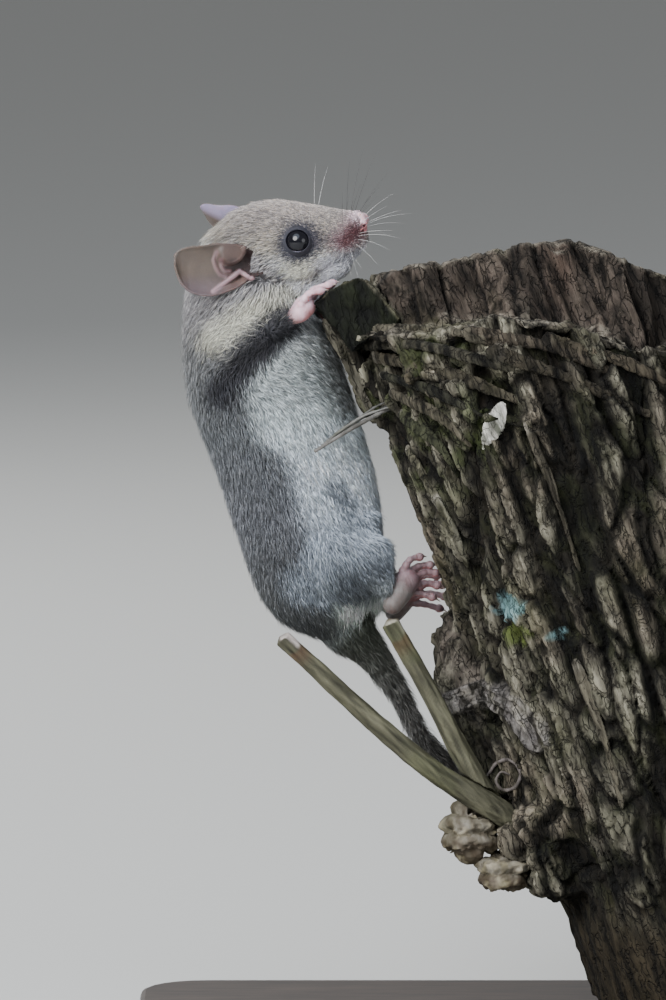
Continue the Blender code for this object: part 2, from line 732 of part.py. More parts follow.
def paw_bodies(palm, digits, extra=0.0, sides=10):
    """The palm or sole, its fingers or toes and their claws, as separate closed bodies."""
    pieces = [limb("palm", picture_rows([(r, u, d, s + extra) for r, u, d, s in palm]), 7, sides)]
    for digit in digits:
        rows = picture_rows([(r, u, d, s + extra) for r, u, d, s in digit])
        start = rows[-1][0]
        on = (start - rows[-2][0]).normalized()
        down = (on - Vector((0.0, 0.0, 0.5))).normalized()
        pieces.append(limb("digit", [(picture_rows(palm)[-1][0], rows[0][1])] + rows, sides, sides))
        places = (start, start + on * (0.5 * CLAW_LENGTH * MM), start + (on + down) * (0.5 * CLAW_LENGTH * MM))
        claw = [(place, radius + extra) for place, radius in zip(places, CLAW_RADII)]
        pieces.append(limb("claw", claw, 5, sides - 2))
    return pieces


def build_paw(name):
    palm, digits, triangles = PAWS[name]
    paw = fuse(name, paw_bodies(palm, digits), PAW_VOXEL, 2)
    reduce_to(paw, triangles)
    return keep_largest(paw)


def paw_room(name):
    """The room of a paw with its gap, in one closed body."""
    palm, digits, _ = PAWS[name]
    room = fuse("room", paw_bodies(palm, digits, PAW_ROOM, 8), ROOM_VOXEL, 1)
    return reduce_to(room, ROOM_TRIANGLES)


def take(body, region, name, inner):
    """Parts a limb off a body along a closed region, down to a plane inside the body."""
    point, normal = inner
    region = half(region, point, normal, True)
    region.name = "region"
    piece = boolean(copy_of(name, body), [copy_of("tool", region)], "INTERSECT")
    boolean(body, [grown(region, REGION_GAP)], "DIFFERENCE")
    remove(region)
    return piece


def limb_region(rows, extra, ahead):
    """A closed body round a limb that reaches over both of its ends."""
    stations = picture_rows([(r, u, d, s + extra) for r, u, d, s in rows])
    first, last = stations[0], stations[-1]
    on = (last[0] - stations[-2][0]).normalized()
    start = (stations[1][0] - first[0]).normalized()
    stations[0] = (first[0] + start * (ahead * MM), first[1])
    stations[-1] = (last[0] + on * (REGION_END * MM), last[1])
    room = fuse("region", [limb("region", stations, 12, 14)], REGION_VOXEL, REGION_BLUR)
    return reduce_to(room, REGION_TRIANGLES)


def cut_plane(line):
    """A plane through two places of the picture that looks along the depth, with its normal up."""
    one, two = at(*line[0], BODY_DEPTH), at(*line[1], BODY_DEPTH)
    normal = Vector((0.0, 1.0, 0.0)).cross(two - one)
    if normal.z < 0:
        normal.negate()
    return (one + two) / 2, normal.normalized()


def build_body(nodes):
    """Parts the whole body into limbs, neck, chest, belly, rump and lengths of tail."""
    whole = whole_body()
    middle = at(-46.0, 100.0, BODY_DEPTH)
    for side, way in (("right", RIGHT_WAY), ("left", -RIGHT_WAY)):
        for limb_name, extra, ahead, distance in LIMB_CUTS:
            name = limb_name + "_" + side
            region = limb_region(LEGS[side][limb_name], extra, ahead)
            nodes[name] = take(whole, region, name, (middle + way * (distance * MM), way))
    point, normal = cut_plane(HEAD_CUT)
    half(whole, point - normal * (GAP * MM / 2), normal, False)
    for name, line in (("neck", NECK_CUT), ("chest", CHEST_CUT), ("belly", BELLY_CUT)):
        point, normal = cut_plane(line)
        lower = split_at(whole, "rest", point, normal)
        nodes[name] = whole
        whole.name = name
        whole = lower
    path = along([(*at(r, u, d), s * MM) for r, u, d, s in TAIL], TAIL_STEPS)
    for number, share in enumerate(TAIL_CUTS):
        index = int(share * (TAIL_STEPS - 1))
        point = Vector(path[index][:3])
        normal = Vector(path[index - 1][:3]) - Vector(path[index + 1][:3])
        lower = split_at(whole, "rest", point, normal)
        name = "tail_" + str(number) if number else "rump"
        nodes[name] = whole
        whole.name = name
        whole = lower
    nodes["tail_" + str(len(TAIL_CUTS))] = whole
    whole.name = "tail_" + str(len(TAIL_CUTS))


# Broken top of the trunk: heights of its near ledge and of the wall behind it, along the picture
LEDGE = ((-36.0, 129.5), (-27.0, 129.0), (-9.4, 131.6), (1.4, 130.6), (12.0, 127.0), (20.5, 122.5),
         (36.0, 116.0))
WALL = ((-36.0, 139.0), (-27.4, 141.4), (-13.0, 143.5), (-6.0, 145.6), (5.0, 146.0), (16.0, 141.0),
        (36.0, 137.0))
WALL_DEPTH = -9.0

# The shard that the animal grips: its outline in the picture and how far it reaches in depth
SHARD = ((-42.9, 134.4), (-41.0, 136.2), (-37.3, 138.3), (-34.9, 139.0), (-33.2, 138.6), (-31.7, 137.2),
         (-27.4, 131.8), (-28.2, 129.6), (-32.0, 128.8), (-36.0, 125.9), (-38.8, 129.4))
SHARD_NEAR = -9.5
SHARD_FAR = 13.0
SHARD_FALL = 2.6

# Plates of bark, broken off in steps on the trunk's near left side: left end, right end
# (right, up, depth), half of their height and half of their depth
PLATES = (
    ((-34.2, 128.6, -13.0), (-11.0, 127.6, -27.5), 1.5, 4.0),
    ((-27.5, 125.6, -18.0), (-8.0, 124.2, -30.5), 1.6, 3.6),
    ((-26.5, 121.6, -19.0), (-12.0, 118.4, -29.5), 1.8, 3.4),
    ((-17.0, 115.8, -26.5), (-3.0, 112.0, -31.5), 1.7, 3.2),
)

# Ridge that runs down the trunk's left edge from under the shard: (right, up, depth), radius
RIDGE = (((-34.2, 127.0, 1.0), 4.4), ((-31.6, 121.5, 0.5), 5.0), ((-27.2, 114.0, 0.0), 5.0),
         ((-21.4, 104.0, 0.0), 4.0), ((-16.8, 94.0, 0.0), 3.0))
SWELL = (((-18.4, 79.0, 2.0), 2.6), ((-16.6, 72.0, 0.0), 4.4), ((-14.6, 64.0, -2.5), 5.4),
         ((-9.6, 56.5, -5.0), 6.0), ((-4.0, 48.0, -8.0), 6.5), ((0.0, 40.0, -10.0), 7.0))
RIM = (((-28.0, 128.0, -7.0), 4.0), ((-29.5, 129.6, 1.0), 4.6), ((-27.5, 130.0, 12.0), 4.6))

TWIG_LOW = ((-6.0, 41.0, -10.0, 2.5), (-12.0, 45.0, -12.5, 2.4), (-20.2, 49.9, -13.5, 2.1),
            (-29.2, 57.1, -13.5, 1.9), (-38.2, 65.2, -13.0, 1.75), (-48.4, 74.6, -12.0, 1.6))
TWIG_HIGH = ((-6.0, 38.0, -9.0, 2.4), (-11.4, 45.4, -11.0, 2.3), (-17.2, 55.4, -12.5, 1.9),
             (-22.6, 66.0, -12.5, 1.75), (-29.2, 77.4, -12.0, 1.7))
FUNGUS_HIGH = ((-14.6, 39.8, -9.0), (5.4, 6.2, 5.6))
FUNGUS_LOW = ((-8.8, 32.8, -10.5), (5.0, 6.5, 3.6))
STEM = ((-25.6, 117.6, -3.6, 0.46), (-30.0, 115.4, -7.4, 0.43), (-36.2, 112.0, -10.9, 0.4),
        (-42.7, 108.0, -12.2, 0.34))
BURL = ((-1.0, 39.5, -11.0), (8.5, 10.0, 7.5))
BURL_LOW = ((1.0, 32.0, -13.0), (6.0, 7.0, 5.0))
PERCH_BOTTOM = 12.0
PERCH_VOXEL = 1.0
PERCH_TRIANGLES = 1700


def broken_top(right, depth):
    """Height of the trunk's broken top, in the picture's millimetres."""
    def height(line):
        return float(np.interp(right, [p[0] for p in line], [p[1] for p in line]))

    edge = WALL_DEPTH + 2.0 * math.sin(right * 0.35)
    share = min(1.0, max(0.0, (depth - edge) / 3.0))
    rough = 1.3 * noise.noise(Vector((right * 0.22, depth * 0.22, 3.0)))
    far = 1.0 - 0.25 * max(0.0, depth) / 30.0
    ledge, wall = height(LEDGE), height(WALL)
    return ledge + (wall - ledge) * share * far + rough


def trunk_body():
    """The leaning trunk: rings round its line, pressed in along the furrows of its bark."""
    rows = along([(*at(r, u, 0.0), radius) for r, u, radius in TRUNK_LINE], TRUNK_RINGS)
    vertices = []
    for i, row in enumerate(rows):
        ahead = Vector(rows[min(i + 1, len(rows) - 1)][:3]) - Vector(rows[max(i - 1, 0)][:3])
        ahead.normalize()
        across = Vector((0.0, 1.0, 0.0)).cross(ahead).normalized()
        share = i / (len(rows) - 1)
        for k in range(TRUNK_SIDES):
            angle = 2 * math.pi * k / TRUNK_SIDES
            wave = noise.noise(Vector((math.cos(angle) * 4.0, math.sin(angle) * 4.0, share * 4.0)))
            swell = noise.noise(Vector((math.cos(angle) * 1.2, math.sin(angle) * 1.2, share * 2.0 + 7.0)))
            radius = row[3] + 1.6 * swell - FURROW_DEPTH * max(0.0, wave)
            out = across * math.cos(angle) + Vector((0.0, 1.0, 0.0)) * math.sin(angle)
            point = Vector(row[:3]) + out * (radius * MM)
            if i == len(rows) - 1:
                top = at(point.x / MM, broken_top(point.x / MM, point.y / MM), point.y / MM)
                point.z = top.z
            vertices.append(point)
    count = len(rows)
    middle = Vector(rows[-1][:3])
    last = vertices[-TRUNK_SIDES:]
    for ring in range(1, 9):
        for point in last:
            inner = middle + (point - middle) * (1 - ring / 9)
            vertices.append(at(inner.x / MM, broken_top(inner.x / MM, inner.y / MM), inner.y / MM))
    count += 8
    faces = []
    for i in range(count - 1):
        for k in range(TRUNK_SIDES):
            a = i * TRUNK_SIDES + k
            b = i * TRUNK_SIDES + (k + 1) % TRUNK_SIDES
            faces.append((a, b, b + TRUNK_SIDES, a + TRUNK_SIDES))
    faces.append(tuple(range(TRUNK_SIDES)))
    faces.append(tuple(range((count - 1) * TRUNK_SIDES, count * TRUNK_SIDES)))
    trunk = add_object("trunk", vertices, faces)
    outward(trunk)
    return trunk


def shard_body(extra=0.0):
    """The gripped shard, as a slab that falls a little towards its far side."""
    middle = Vector((sum(p[0] for p in SHARD), sum(p[1] for p in SHARD))) / len(SHARD)
    vertices = []
    for depth, fall in ((SHARD_NEAR - extra, 0.0), (SHARD_FAR + extra, SHARD_FALL)):
        for right, up in SHARD:
            place = Vector((right, up))
            place += (place - middle).normalized() * extra * 1.2
            near = at(place.x, place.y, SHARD_NEAR)
            vertices.append(Vector((near.x + 0.3 * fall * MM, depth * MM, near.z - fall * MM)))
    count = len(SHARD)
    faces = [tuple(range(count)), tuple(range(count, 2 * count))]
    for k in range(count):
        a, b = k, (k + 1) % count
        faces.append((a, b, b + count, a + count))
    shard = add_object("shard", vertices, faces)
    outward(shard)
    return shard


def twig_body(name, rows, extra=0.0, sides=10):
    """A cut twig: a bent rod with flat ends."""
    path = along([(*at(r, u, d), (s + extra) * MM) for r, u, d, s in rows], 2 * len(rows) + 4)
    return tube(name, path[:, :3], [(row[3], row[3]) for row in path], sides=sides)


def fungus_body(name, place, extra=0.0):
    (right, up, depth), radii = place
    return ball(name, at(right, up, depth), [r + extra for r in radii], detail=3)


def build_perch(nodes):
    pieces = [trunk_body(), fungus_body("burl", BURL), fungus_body("burl", BURL_LOW)]
    for left, right, high, deep in PLATES:
        path = along([at(*left), at(*[(a + b) / 2 for a, b in zip(left, right)]), at(*right)], 8)
        pieces.append(tube("plate", path, rounded([(high * MM, deep * MM)] * 8, 2), sides=10))
    for line in (RIDGE, SWELL, RIM):
        pieces.append(limb("ridge", [(at(*place), radius) for place, radius in line], 10, 12))
    trunk = fuse("perch_trunk", pieces, PERCH_VOXEL, 1)
    reduce_to(trunk, PERCH_TRIANGLES)
    half(trunk, Vector((0.0, 0.0, PERCH_BOTTOM * MM)), Vector((0.0, 0.0, 1.0)), True)
    cutters = [shard_body(GAP), twig_body("cutter", TWIG_LOW, GAP), twig_body("cutter", TWIG_HIGH, GAP),
               fungus_body("cutter", FUNGUS_HIGH, GAP), fungus_body("cutter", FUNGUS_LOW, GAP),
               twig_body("cutter", STEM, GAP, 8)]
    cutters += [paw_room(name) for name in PAWS]
    boolean(trunk, cutters, "DIFFERENCE")
    trunk.name = "perch_trunk"
    nodes["perch_trunk"] = trunk
    shard = shard_body()
    hands = [paw_room("hand_right"), paw_room("hand_left")]
    nodes["perch_shard"] = boolean(shard, hands, "DIFFERENCE")
    shard.name = "perch_shard"
    low = twig_body("perch_twig_low", TWIG_LOW)
    high = twig_body("perch_twig_high", TWIG_HIGH)
    nodes["perch_twig_high"] = boolean(high, [twig_body("cutter", TWIG_LOW, GAP)], "DIFFERENCE")
    high.name = "perch_twig_high"
    nodes["perch_twig_low"] = low
    nodes["perch_stem"] = twig_body("perch_stem", STEM, sides=8)
    fungus = fungus_body("perch_fungus_high", FUNGUS_HIGH)
    tools = [twig_body("cutter", TWIG_LOW, GAP), twig_body("cutter", TWIG_HIGH, GAP),
             fungus_body("cutter", FUNGUS_LOW, GAP)]
    nodes["perch_fungus_high"] = boolean(reduce_to(fungus, 240), tools, "DIFFERENCE")
    fungus.name = "perch_fungus_high"
    fungus = fungus_body("perch_fungus_low", FUNGUS_LOW)
    tools = [twig_body("cutter", TWIG_LOW, GAP), twig_body("cutter", TWIG_HIGH, GAP)]
    nodes["perch_fungus_low"] = boolean(reduce_to(fungus, 240), tools, "DIFFERENCE")
    fungus.name = "perch_fungus_low"


def build_stand(nodes):
    bm = bmesh.new()
    bmesh.ops.create_cube(bm, size=1.0)
    for vertex in bm.verts:
        x, y, z = vertex.co
        vertex.co = Vector((x * BASE_LENGTH, y * BASE_DEPTH, (z + 0.5) * BASE_HEIGHT)) * MM
    upright_edges = [e for e in bm.edges if abs(e.verts[0].co.z - e.verts[1].co.z) > 1e-6]
    bmesh.ops.bevel(bm, geom=upright_edges, offset=BASE_CORNER * MM, segments=6, affect="EDGES", profile=0.5)
    top = BASE_HEIGHT * MM
    rim = [e for e in bm.edges if all(abs(v.co.z - top) < 1e-6 for v in e.verts)]
    bmesh.ops.bevel(bm, geom=rim, offset=BASE_EDGE * MM, segments=2, affect="EDGES", profile=0.5)
    nodes["stand_base"] = object_of("stand_base", bm)
    for number, (right, depth) in enumerate(ROD_PLACES, 1):
        name = "stand_rod_" + str(number)
        low = BASE_HEIGHT + GAP
        high = PERCH_BOTTOM - GAP
        bm = bmesh.new()
        spot = Matrix.Translation(Vector((right, depth, (low + high) / 2)) * MM)
        bmesh.ops.create_cone(bm, cap_ends=True, segments=24, radius1=ROD_RADIUS * MM, radius2=ROD_RADIUS * MM,
                              depth=(high - low) * MM, matrix=spot)
        nodes[name] = object_of(name, bm)


def main():
    clear_scene()
    nodes = {}
    build_body(nodes)
    head = build_head()
    point, normal = cut_plane(HEAD_CUT)
    half(head, point + normal * (GAP * MM / 2), normal, True)
    nodes["head"] = head
    for side, sign in (("right", 1), ("left", -1)):
        ear = build_ear("ear_" + side, sign)
        nodes["ear_" + side] = boolean(ear, [grown(head), grown(nodes["neck"])], "DIFFERENCE")
        nodes["eye_" + side] = build_eye("eye_" + side, sign)
    for name in PAWS:
        nodes[name] = build_paw(name)
    for side in LEGS:
        for name in ("forearm_" + side, "chest"):
            boolean(nodes[name], [paw_room("hand_" + side)], "DIFFERENCE")
        for name in ("shank_" + side, "thigh_" + side):
            boolean(nodes[name], [paw_room("foot_" + side)], "DIFFERENCE")
    build_perch(nodes)
    build_stand(nodes)
    colours = {
        "eye": ("eye black", (0.01, 0.01, 0.012), 0.05),
        "ear": ("ear skin", (0.45, 0.33, 0.29), 0.6),
        "hand": ("paw skin", (0.72, 0.5, 0.45), 0.6),
        "foot": ("paw skin", (0.72, 0.5, 0.45), 0.6),
        "perch_fungus": ("fungus", (0.6, 0.52, 0.38), 0.8),
        "perch": ("bark", (0.2, 0.16, 0.12), 0.9),
        "stand": ("stand", (0.1, 0.08, 0.07), 0.4),
    }
    for name, thing in nodes.items():
        thing.name = name
        look = next((colours[key] for key in colours if name.startswith(key)), ("fur", (0.4, 0.39, 0.36), 0.9))
        paint(thing, *look)


main()
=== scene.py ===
# %% [markdown]
# # A sichuan dormouse on a broken trunk
# A small grey dormouse climbs a leaning, broken trunk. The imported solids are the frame: every
# piece below either gives one of them its finish or takes its place. Sizes are millimetres,
# read as in a picture of the model: to the right, up, and away from the viewer.

# %% Load the frame
import math

import bmesh
import bpy
import numpy as np
from mathutils import Matrix, Vector, noise
from mathutils.bvhtree import BVHTree
from mathutils.kdtree import KDTree


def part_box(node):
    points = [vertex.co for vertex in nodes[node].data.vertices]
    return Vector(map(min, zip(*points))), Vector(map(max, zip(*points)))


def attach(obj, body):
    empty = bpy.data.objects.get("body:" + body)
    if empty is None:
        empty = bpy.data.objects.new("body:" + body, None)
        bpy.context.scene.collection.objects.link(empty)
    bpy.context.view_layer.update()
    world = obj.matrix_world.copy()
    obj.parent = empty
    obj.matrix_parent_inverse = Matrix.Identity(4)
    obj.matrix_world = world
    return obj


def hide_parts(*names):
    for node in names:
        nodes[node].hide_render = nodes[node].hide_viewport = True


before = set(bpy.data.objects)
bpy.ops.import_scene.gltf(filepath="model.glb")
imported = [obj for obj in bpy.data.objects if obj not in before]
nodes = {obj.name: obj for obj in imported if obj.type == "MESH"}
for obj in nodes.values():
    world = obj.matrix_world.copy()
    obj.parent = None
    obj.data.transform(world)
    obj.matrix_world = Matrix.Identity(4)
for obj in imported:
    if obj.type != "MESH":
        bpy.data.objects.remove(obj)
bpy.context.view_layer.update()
print("frame:", len(nodes), "nodes")

# %% Places in the picture
MM = 0.001
VIEW_TILT = math.radians(6.0)
PICTURE_LIFT = 2.4
BODY_DEPTH = 3.5


def at(right, up, depth):
    """A point, in metres, from its place in the picture and its depth, in millimetres."""
    height = (up + PICTURE_LIFT - depth * math.sin(VIEW_TILT)) / math.cos(VIEW_TILT)
    return Vector((right, depth, height)) * MM


def picture(points):
    """Places in the picture, in millimetres to the right and up, of rows of points in metres."""
    rows = np.asarray(points, float) / MM
    up = rows[:, 2] * math.cos(VIEW_TILT) + rows[:, 1] * math.sin(VIEW_TILT) - PICTURE_LIFT
    return np.stack([rows[:, 0], up], axis=1)


# %% Directions of the body and of the head
BODY_YAW = math.radians(14.0)
HEAD_YAW = math.radians(12.0)
HEAD_ROLL = math.radians(18.0)
HEAD_PITCH = math.radians(3.0)
BELLY_WAY = Vector((math.cos(BODY_YAW), -math.sin(BODY_YAW), 0.0))
RIGHT_WAY = Vector((-math.sin(BODY_YAW), -math.cos(BODY_YAW), 0.0))
side_way = Vector((-math.sin(HEAD_YAW), -math.cos(HEAD_YAW), 0.0))
NOSE_WAY = Vector((math.cos(HEAD_YAW) * math.cos(HEAD_PITCH),
                   -math.sin(HEAD_YAW) * math.cos(HEAD_PITCH), math.sin(HEAD_PITCH)))
upright = side_way.cross(NOSE_WAY)
CHEEK_WAY = side_way * math.cos(HEAD_ROLL) - upright * math.sin(HEAD_ROLL)
CROWN_WAY = side_way * math.sin(HEAD_ROLL) + upright * math.cos(HEAD_ROLL)
HEAD_MIDDLE = at(-44.7, 146.5, 0.9)
RIGHT, LEFT = 1, -1


def in_head(ahead, right, up):
    """A point given by how far it lies ahead, to the animal's right and up in its head."""
    return HEAD_MIDDLE + (NOSE_WAY * ahead + CHEEK_WAY * right + CROWN_WAY * up) * MM


def head_places(points):
    """How far rows of points lie ahead, to the right and up in the head, in millimetres."""
    rows = (np.asarray(points, float) - np.array(HEAD_MIDDLE)) / MM
    ways = np.array([NOSE_WAY, CHEEK_WAY, CROWN_WAY])
    return rows @ ways.T


print("nose tip at", [round(c / MM, 1) for c in in_head(11.2, 0, 1.6)])

# %% [markdown]
# ## Tools of the bench
# Blender's operators act on all that is selected, so each helper first deselects everything,
# the loaded solids too, and then picks only its own piece.

# %% Picking, modifiers, joining, seating
def pick(*things):
    """Selects only these objects and makes the first one active."""
    bpy.ops.object.select_all(action="DESELECT")
    for thing in things:
        thing.select_set(True)
    bpy.context.view_layer.objects.active = things[0]
    return things[0]


def work(thing, kind, **values):
    """Adds a modifier with its values and applies it."""
    pick(thing)
    modifier = thing.modifiers.new(kind.title(), kind)
    for name, value in values.items():
        setattr(modifier, name, value)
    bpy.ops.object.modifier_apply(modifier=modifier.name)
    return thing


def join(things, name):
    """Makes one object of several."""
    pick(*things)
    bpy.ops.object.join()
    things[0].name = name
    things[0].data.name = name
    return things[0]


def added(name, data):
    """A new object in the scene for a mesh, a curve, a lamp or a camera."""
    thing = bpy.data.objects.new(name, data)
    bpy.context.scene.collection.objects.link(thing)
    return thing


def made(step, **values):
    """The object that one of Blender's add steps makes."""
    bpy.ops.object.select_all(action="DESELECT")
    step(**values)
    return bpy.context.object


def edit_all(thing, step, **values):
    """Runs one step of edit mode on the whole of a mesh."""
    pick(thing)
    bpy.ops.object.mode_set(mode="EDIT")
    bpy.ops.mesh.select_all(action="SELECT")
    step(**values)
    bpy.ops.object.mode_set(mode="OBJECT")
    return thing


def merged_copy(node):
    """A copy of a solid of the frame with its loose triangles merged."""
    thing = added("copy_" + node, nodes[node].data.copy())
    thing.data.materials.clear()
    return edit_all(thing, bpy.ops.mesh.remove_doubles, threshold=0.000002)


def settle(thing):
    """Puts the place, turn and size of an object in its mesh."""
    pick(thing)
    bpy.ops.object.transform_apply(location=True, rotation=True, scale=True)
    return thing


def group_of(thing, name, weights):
    """A vertex group from a row of weights; what weighs next to nothing stays out."""
    group = thing.vertex_groups.new(name=name)
    for index in np.nonzero(weights > 0.0)[0]:
        group.add([int(index)], float(weights[index]), "ADD")
    return name


def wear(thing, material):
    """Gives a piece its one material and smooth shading."""
    thing.data.materials.clear()
    thing.data.materials.append(material)
    thing.data.polygons.foreach_set("material_index", [0] * len(thing.data.polygons))
    pick(thing)
    bpy.ops.object.shade_smooth()
    return thing


def seat(thing, slot, *replaced):
    """Fixes a piece to the still model and hides the solids whose place it takes; slot is not used.
    """
    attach(thing, "root")
    if replaced:
        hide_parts(*replaced)
    return thing


def corners(thing):
    """Rows of the vertices of an object."""
    rows = np.empty(len(thing.data.vertices) * 3)
    thing.data.vertices.foreach_get("co", rows)
    return rows.reshape(-1, 3)


def outward(thing):
    """Rows of the normals at the vertices of an object."""
    rows = np.empty(len(thing.data.vertices) * 3)
    thing.data.vertex_normals.foreach_get("vector", rows)
    return rows.reshape(-1, 3)


def place_corners(thing, rows):
    """Moves the vertices of an object to new places."""
    thing.data.vertices.foreach_set("co", rows.reshape(-1))
    thing.data.update()


def ease(low, high, values):
    """0 below low, 1 above high, and a smooth rise between them."""
    t = np.clip((values - low) / (high - low), 0.0, 1.0)
    return t * t * (3.0 - 2.0 * t)


print("bench ready")

# %% [markdown]
# ## Clay
# Paws and the muzzle are shaped as a sculptor does it: small balls are pressed together
# in edit mode, a voxel remesh fuses them and a smoothing takes the marks away.

# %% Balls along a line, fused
def along(rows, count):
    """Places evenly spaced on a smooth curve through rows of numbers."""
    rows = np.array(rows, float)
    ends = np.vstack([2 * rows[0] - rows[1], rows, 2 * rows[-1] - rows[-2]])
    result = []
    for t in np.linspace(0, len(rows) - 1, count):
        i = min(int(t), len(rows) - 2)
        s = t - i
        p0, p1, p2, p3 = ends[i], ends[i + 1], ends[i + 2], ends[i + 3]
        result.append(0.5 * (2 * p1 + (p2 - p0) * s + (2 * p0 - 5 * p1 + 4 * p2 - p3) * s ** 2
                             + (3 * p1 - p0 - 3 * p2 + p3) * s ** 3))
    return np.array(result)


def turn_of(first, second, third):
    """The turn that carries the x, y and z axes to three directions."""
    return Matrix((first, second, third)).transposed().to_euler()


def clay(name, balls, voxel, smooth, factor=0.5):
    """One fused body of balls: each is a centre in metres, half sizes in mm and a turn."""
    thing = added(name, bpy.data.meshes.new(name))
    pick(thing)
    bpy.ops.object.mode_set(mode="EDIT")
    for centre, sizes, turn in balls:
        half = [size * MM for size in sizes]
        bpy.ops.mesh.primitive_ico_sphere_add(subdivisions=3, radius=1.0, location=centre,
                                              rotation=turn, scale=half)
    bpy.ops.object.mode_set(mode="OBJECT")
    work(thing, "REMESH", mode="VOXEL", voxel_size=voxel * MM)
    if smooth:
        work(thing, "SMOOTH", factor=factor, iterations=smooth)
    return thing


def string_of_balls(rows, spacing=0.4):
    """Balls close together along (right, up, depth, radius) rows."""
    points = [at(*row[:3]) for row in rows]
    length = sum((b - a).length for a, b in zip(points, points[1:])) / MM
    line = along(rows, max(4, int(length / spacing)))
    return [(at(*row[:3]), (row[3],) * 3, (0, 0, 0)) for row in line]


print("clay ready")

# %% [markdown]
# ## Lines of growth
# Fur has a lie: it runs from the nose over the head, down the back and out along the limbs.
# A few lines through the body carry that lie, the length of the hair and the depth of the
# coat. Every later step, the skin, the markings and the locks, asks the nearest lines.

# %% The lines through the body
TORSO = ((-54.5, 145.0, 3.5, 7.3), (-55.6, 140.0, 3.5, 9.2), (-55.4, 135.0, 3.5, 10.7),
         (-54.4, 130.0, 3.5, 12.0), (-52.8, 124.6, 3.5, 13.1), (-50.9, 118.3, 3.5, 13.5),
         (-48.6, 112.0, 3.5, 13.6), (-46.2, 104.8, 3.5, 13.6), (-44.2, 97.6, 3.5, 13.4),
         (-42.6, 90.5, 3.5, 12.9), (-41.6, 84.5, 3.5, 11.5), (-40.8, 79.6, 3.5, 9.0),
         (-40.0, 75.8, 3.5, 4.6))
ARM_RIGHT = ((-57.0, 131.0, -3.6, 5.2), (-59.4, 125.8, -6.8, 3.6))
ARM_LEFT = ((-54.0, 131.0, 10.4, 5.2), (-54.0, 125.8, 13.4, 3.6))
FOREARM_RIGHT = ((-59.4, 125.8, -6.8, 3.6), (-52.6, 129.2, -7.8, 2.9), (-46.6, 132.3, -7.4, 1.6))
FOREARM_LEFT = ((-54.0, 125.8, 13.4, 3.6), (-48.8, 129.0, 13.4, 2.8), (-43.8, 132.6, 11.8, 1.6))
THIGH_RIGHT = ((-42.0, 86.0, -1.5, 8.0), (-38.0, 89.6, -3.0, 9.0), (-34.6, 91.2, -4.2, 6.3))
THIGH_LEFT = ((-40.0, 83.0, 7.5, 8.0), (-36.4, 85.6, 9.5, 8.6), (-33.4, 87.6, 10.8, 6.2))
SHANK_RIGHT = ((-34.0, 90.6, -4.6, 5.7), (-31.2, 87.0, -6.4, 4.4), (-28.8, 81.8, -7.4, 2.2))
SHANK_LEFT = ((-33.2, 87.6, 11.2, 5.8), (-30.4, 83.2, 12.8, 4.0), (-28.4, 79.4, 12.6, 2.2))
TAIL = ((-40.4, 82.0, 4.5, 6.5), (-37.2, 76.8, 5.0, 5.6), (-32.6, 71.8, 6.0, 3.3),
        (-27.2, 63.8, 7.8, 2.3), (-23.6, 56.6, 11.0, 2.1), (-17.4, 50.2, 18.0, 2.2),
        (-9.0, 44.2, 27.0, 2.4), (2.0, 37.6, 34.5, 2.7), (13.0, 31.6, 37.5, 3.0),
        (23.0, 26.6, 37.0, 2.8), (30.0, 22.8, 35.5, 0.9))
HEAD_LINE = ((11.2, 0.0, 1.6, 2.0), (6.7, 0.0, 0.1, 4.6), (3.0, 0.0, -0.5, 5.9),
             (-3.0, 0.0, -0.4, 7.2), (-8.1, 0.0, -0.4, 7.6), (-13.0, 0.0, -1.2, 7.2))


def line_through(rows, placed=at):
    """A line in metres from rows of three numbers of place and a radius."""
    return np.array([(*placed(*row[:3]), row[3] * MM) for row in rows])


# Each line with the length of its hair and the depth of its coat, in millimetres
GROWTH = {
    "head": (line_through(HEAD_LINE, in_head), 1.5, 0.4),
    "torso": (line_through(TORSO), 3.3, 1.2),
    "arm_right": (line_through(ARM_RIGHT), 3.0, 1.0),
    "arm_left": (line_through(ARM_LEFT), 3.0, 1.0),
    "forearm_right": (line_through(FOREARM_RIGHT), 2.2, 0.65),
    "forearm_left": (line_through(FOREARM_LEFT), 2.2, 0.65),
    "thigh_right": (line_through(THIGH_RIGHT), 3.2, 1.1),
    "thigh_left": (line_through(THIGH_LEFT), 3.2, 1.1),
    "shank_right": (line_through(SHANK_RIGHT), 2.2, 0.65),
    "shank_left": (line_through(SHANK_LEFT), 2.2, 0.65),
    "tail": (line_through(TAIL), 3.2, 0.9),
}
LINE_NAMES = list(GROWTH)
print("lines of growth:", len(GROWTH))

# %% Asking the lines
NEARNESS_POWER = 8.0


def nearest_on_line(points, line):
    """For rows of points: distance over radius, the line's way, and how far along, 0 to 1."""
    best = np.full(len(points), 1e9)
    ways = np.zeros((len(points), 3))
    parts = np.zeros(len(points))
    for i in range(len(line) - 1):
        a, b = line[i], line[i + 1]
        step = b[:3] - a[:3]
        t = np.clip((points - a[:3]) @ step / (step @ step), 0.0, 1.0)
        gap = np.linalg.norm(points - (a[:3] + t[:, None] * step), axis=1)
        ratio = gap / (a[3] + t * (b[3] - a[3]))
        closer = ratio < best
        best[closer] = ratio[closer]
        ways[closer] = step / np.linalg.norm(step)
        parts[closer] = (i + t[closer]) / (len(line) - 1)
    return best, ways, parts


def ask_lines(points):
    """Shares of the lines at rows of points, and the way and place along each line."""
    shares, ways, parts = [], [], []
    for name in LINE_NAMES:
        ratio, way, part = nearest_on_line(points, GROWTH[name][0])
        shares.append(np.clip(ratio, 0.3, 60.0) ** -NEARNESS_POWER)
        ways.append(way)
        parts.append(part)
    shares = np.array(shares)
    return shares / shares.sum(axis=0), np.array(ways), np.array(parts)


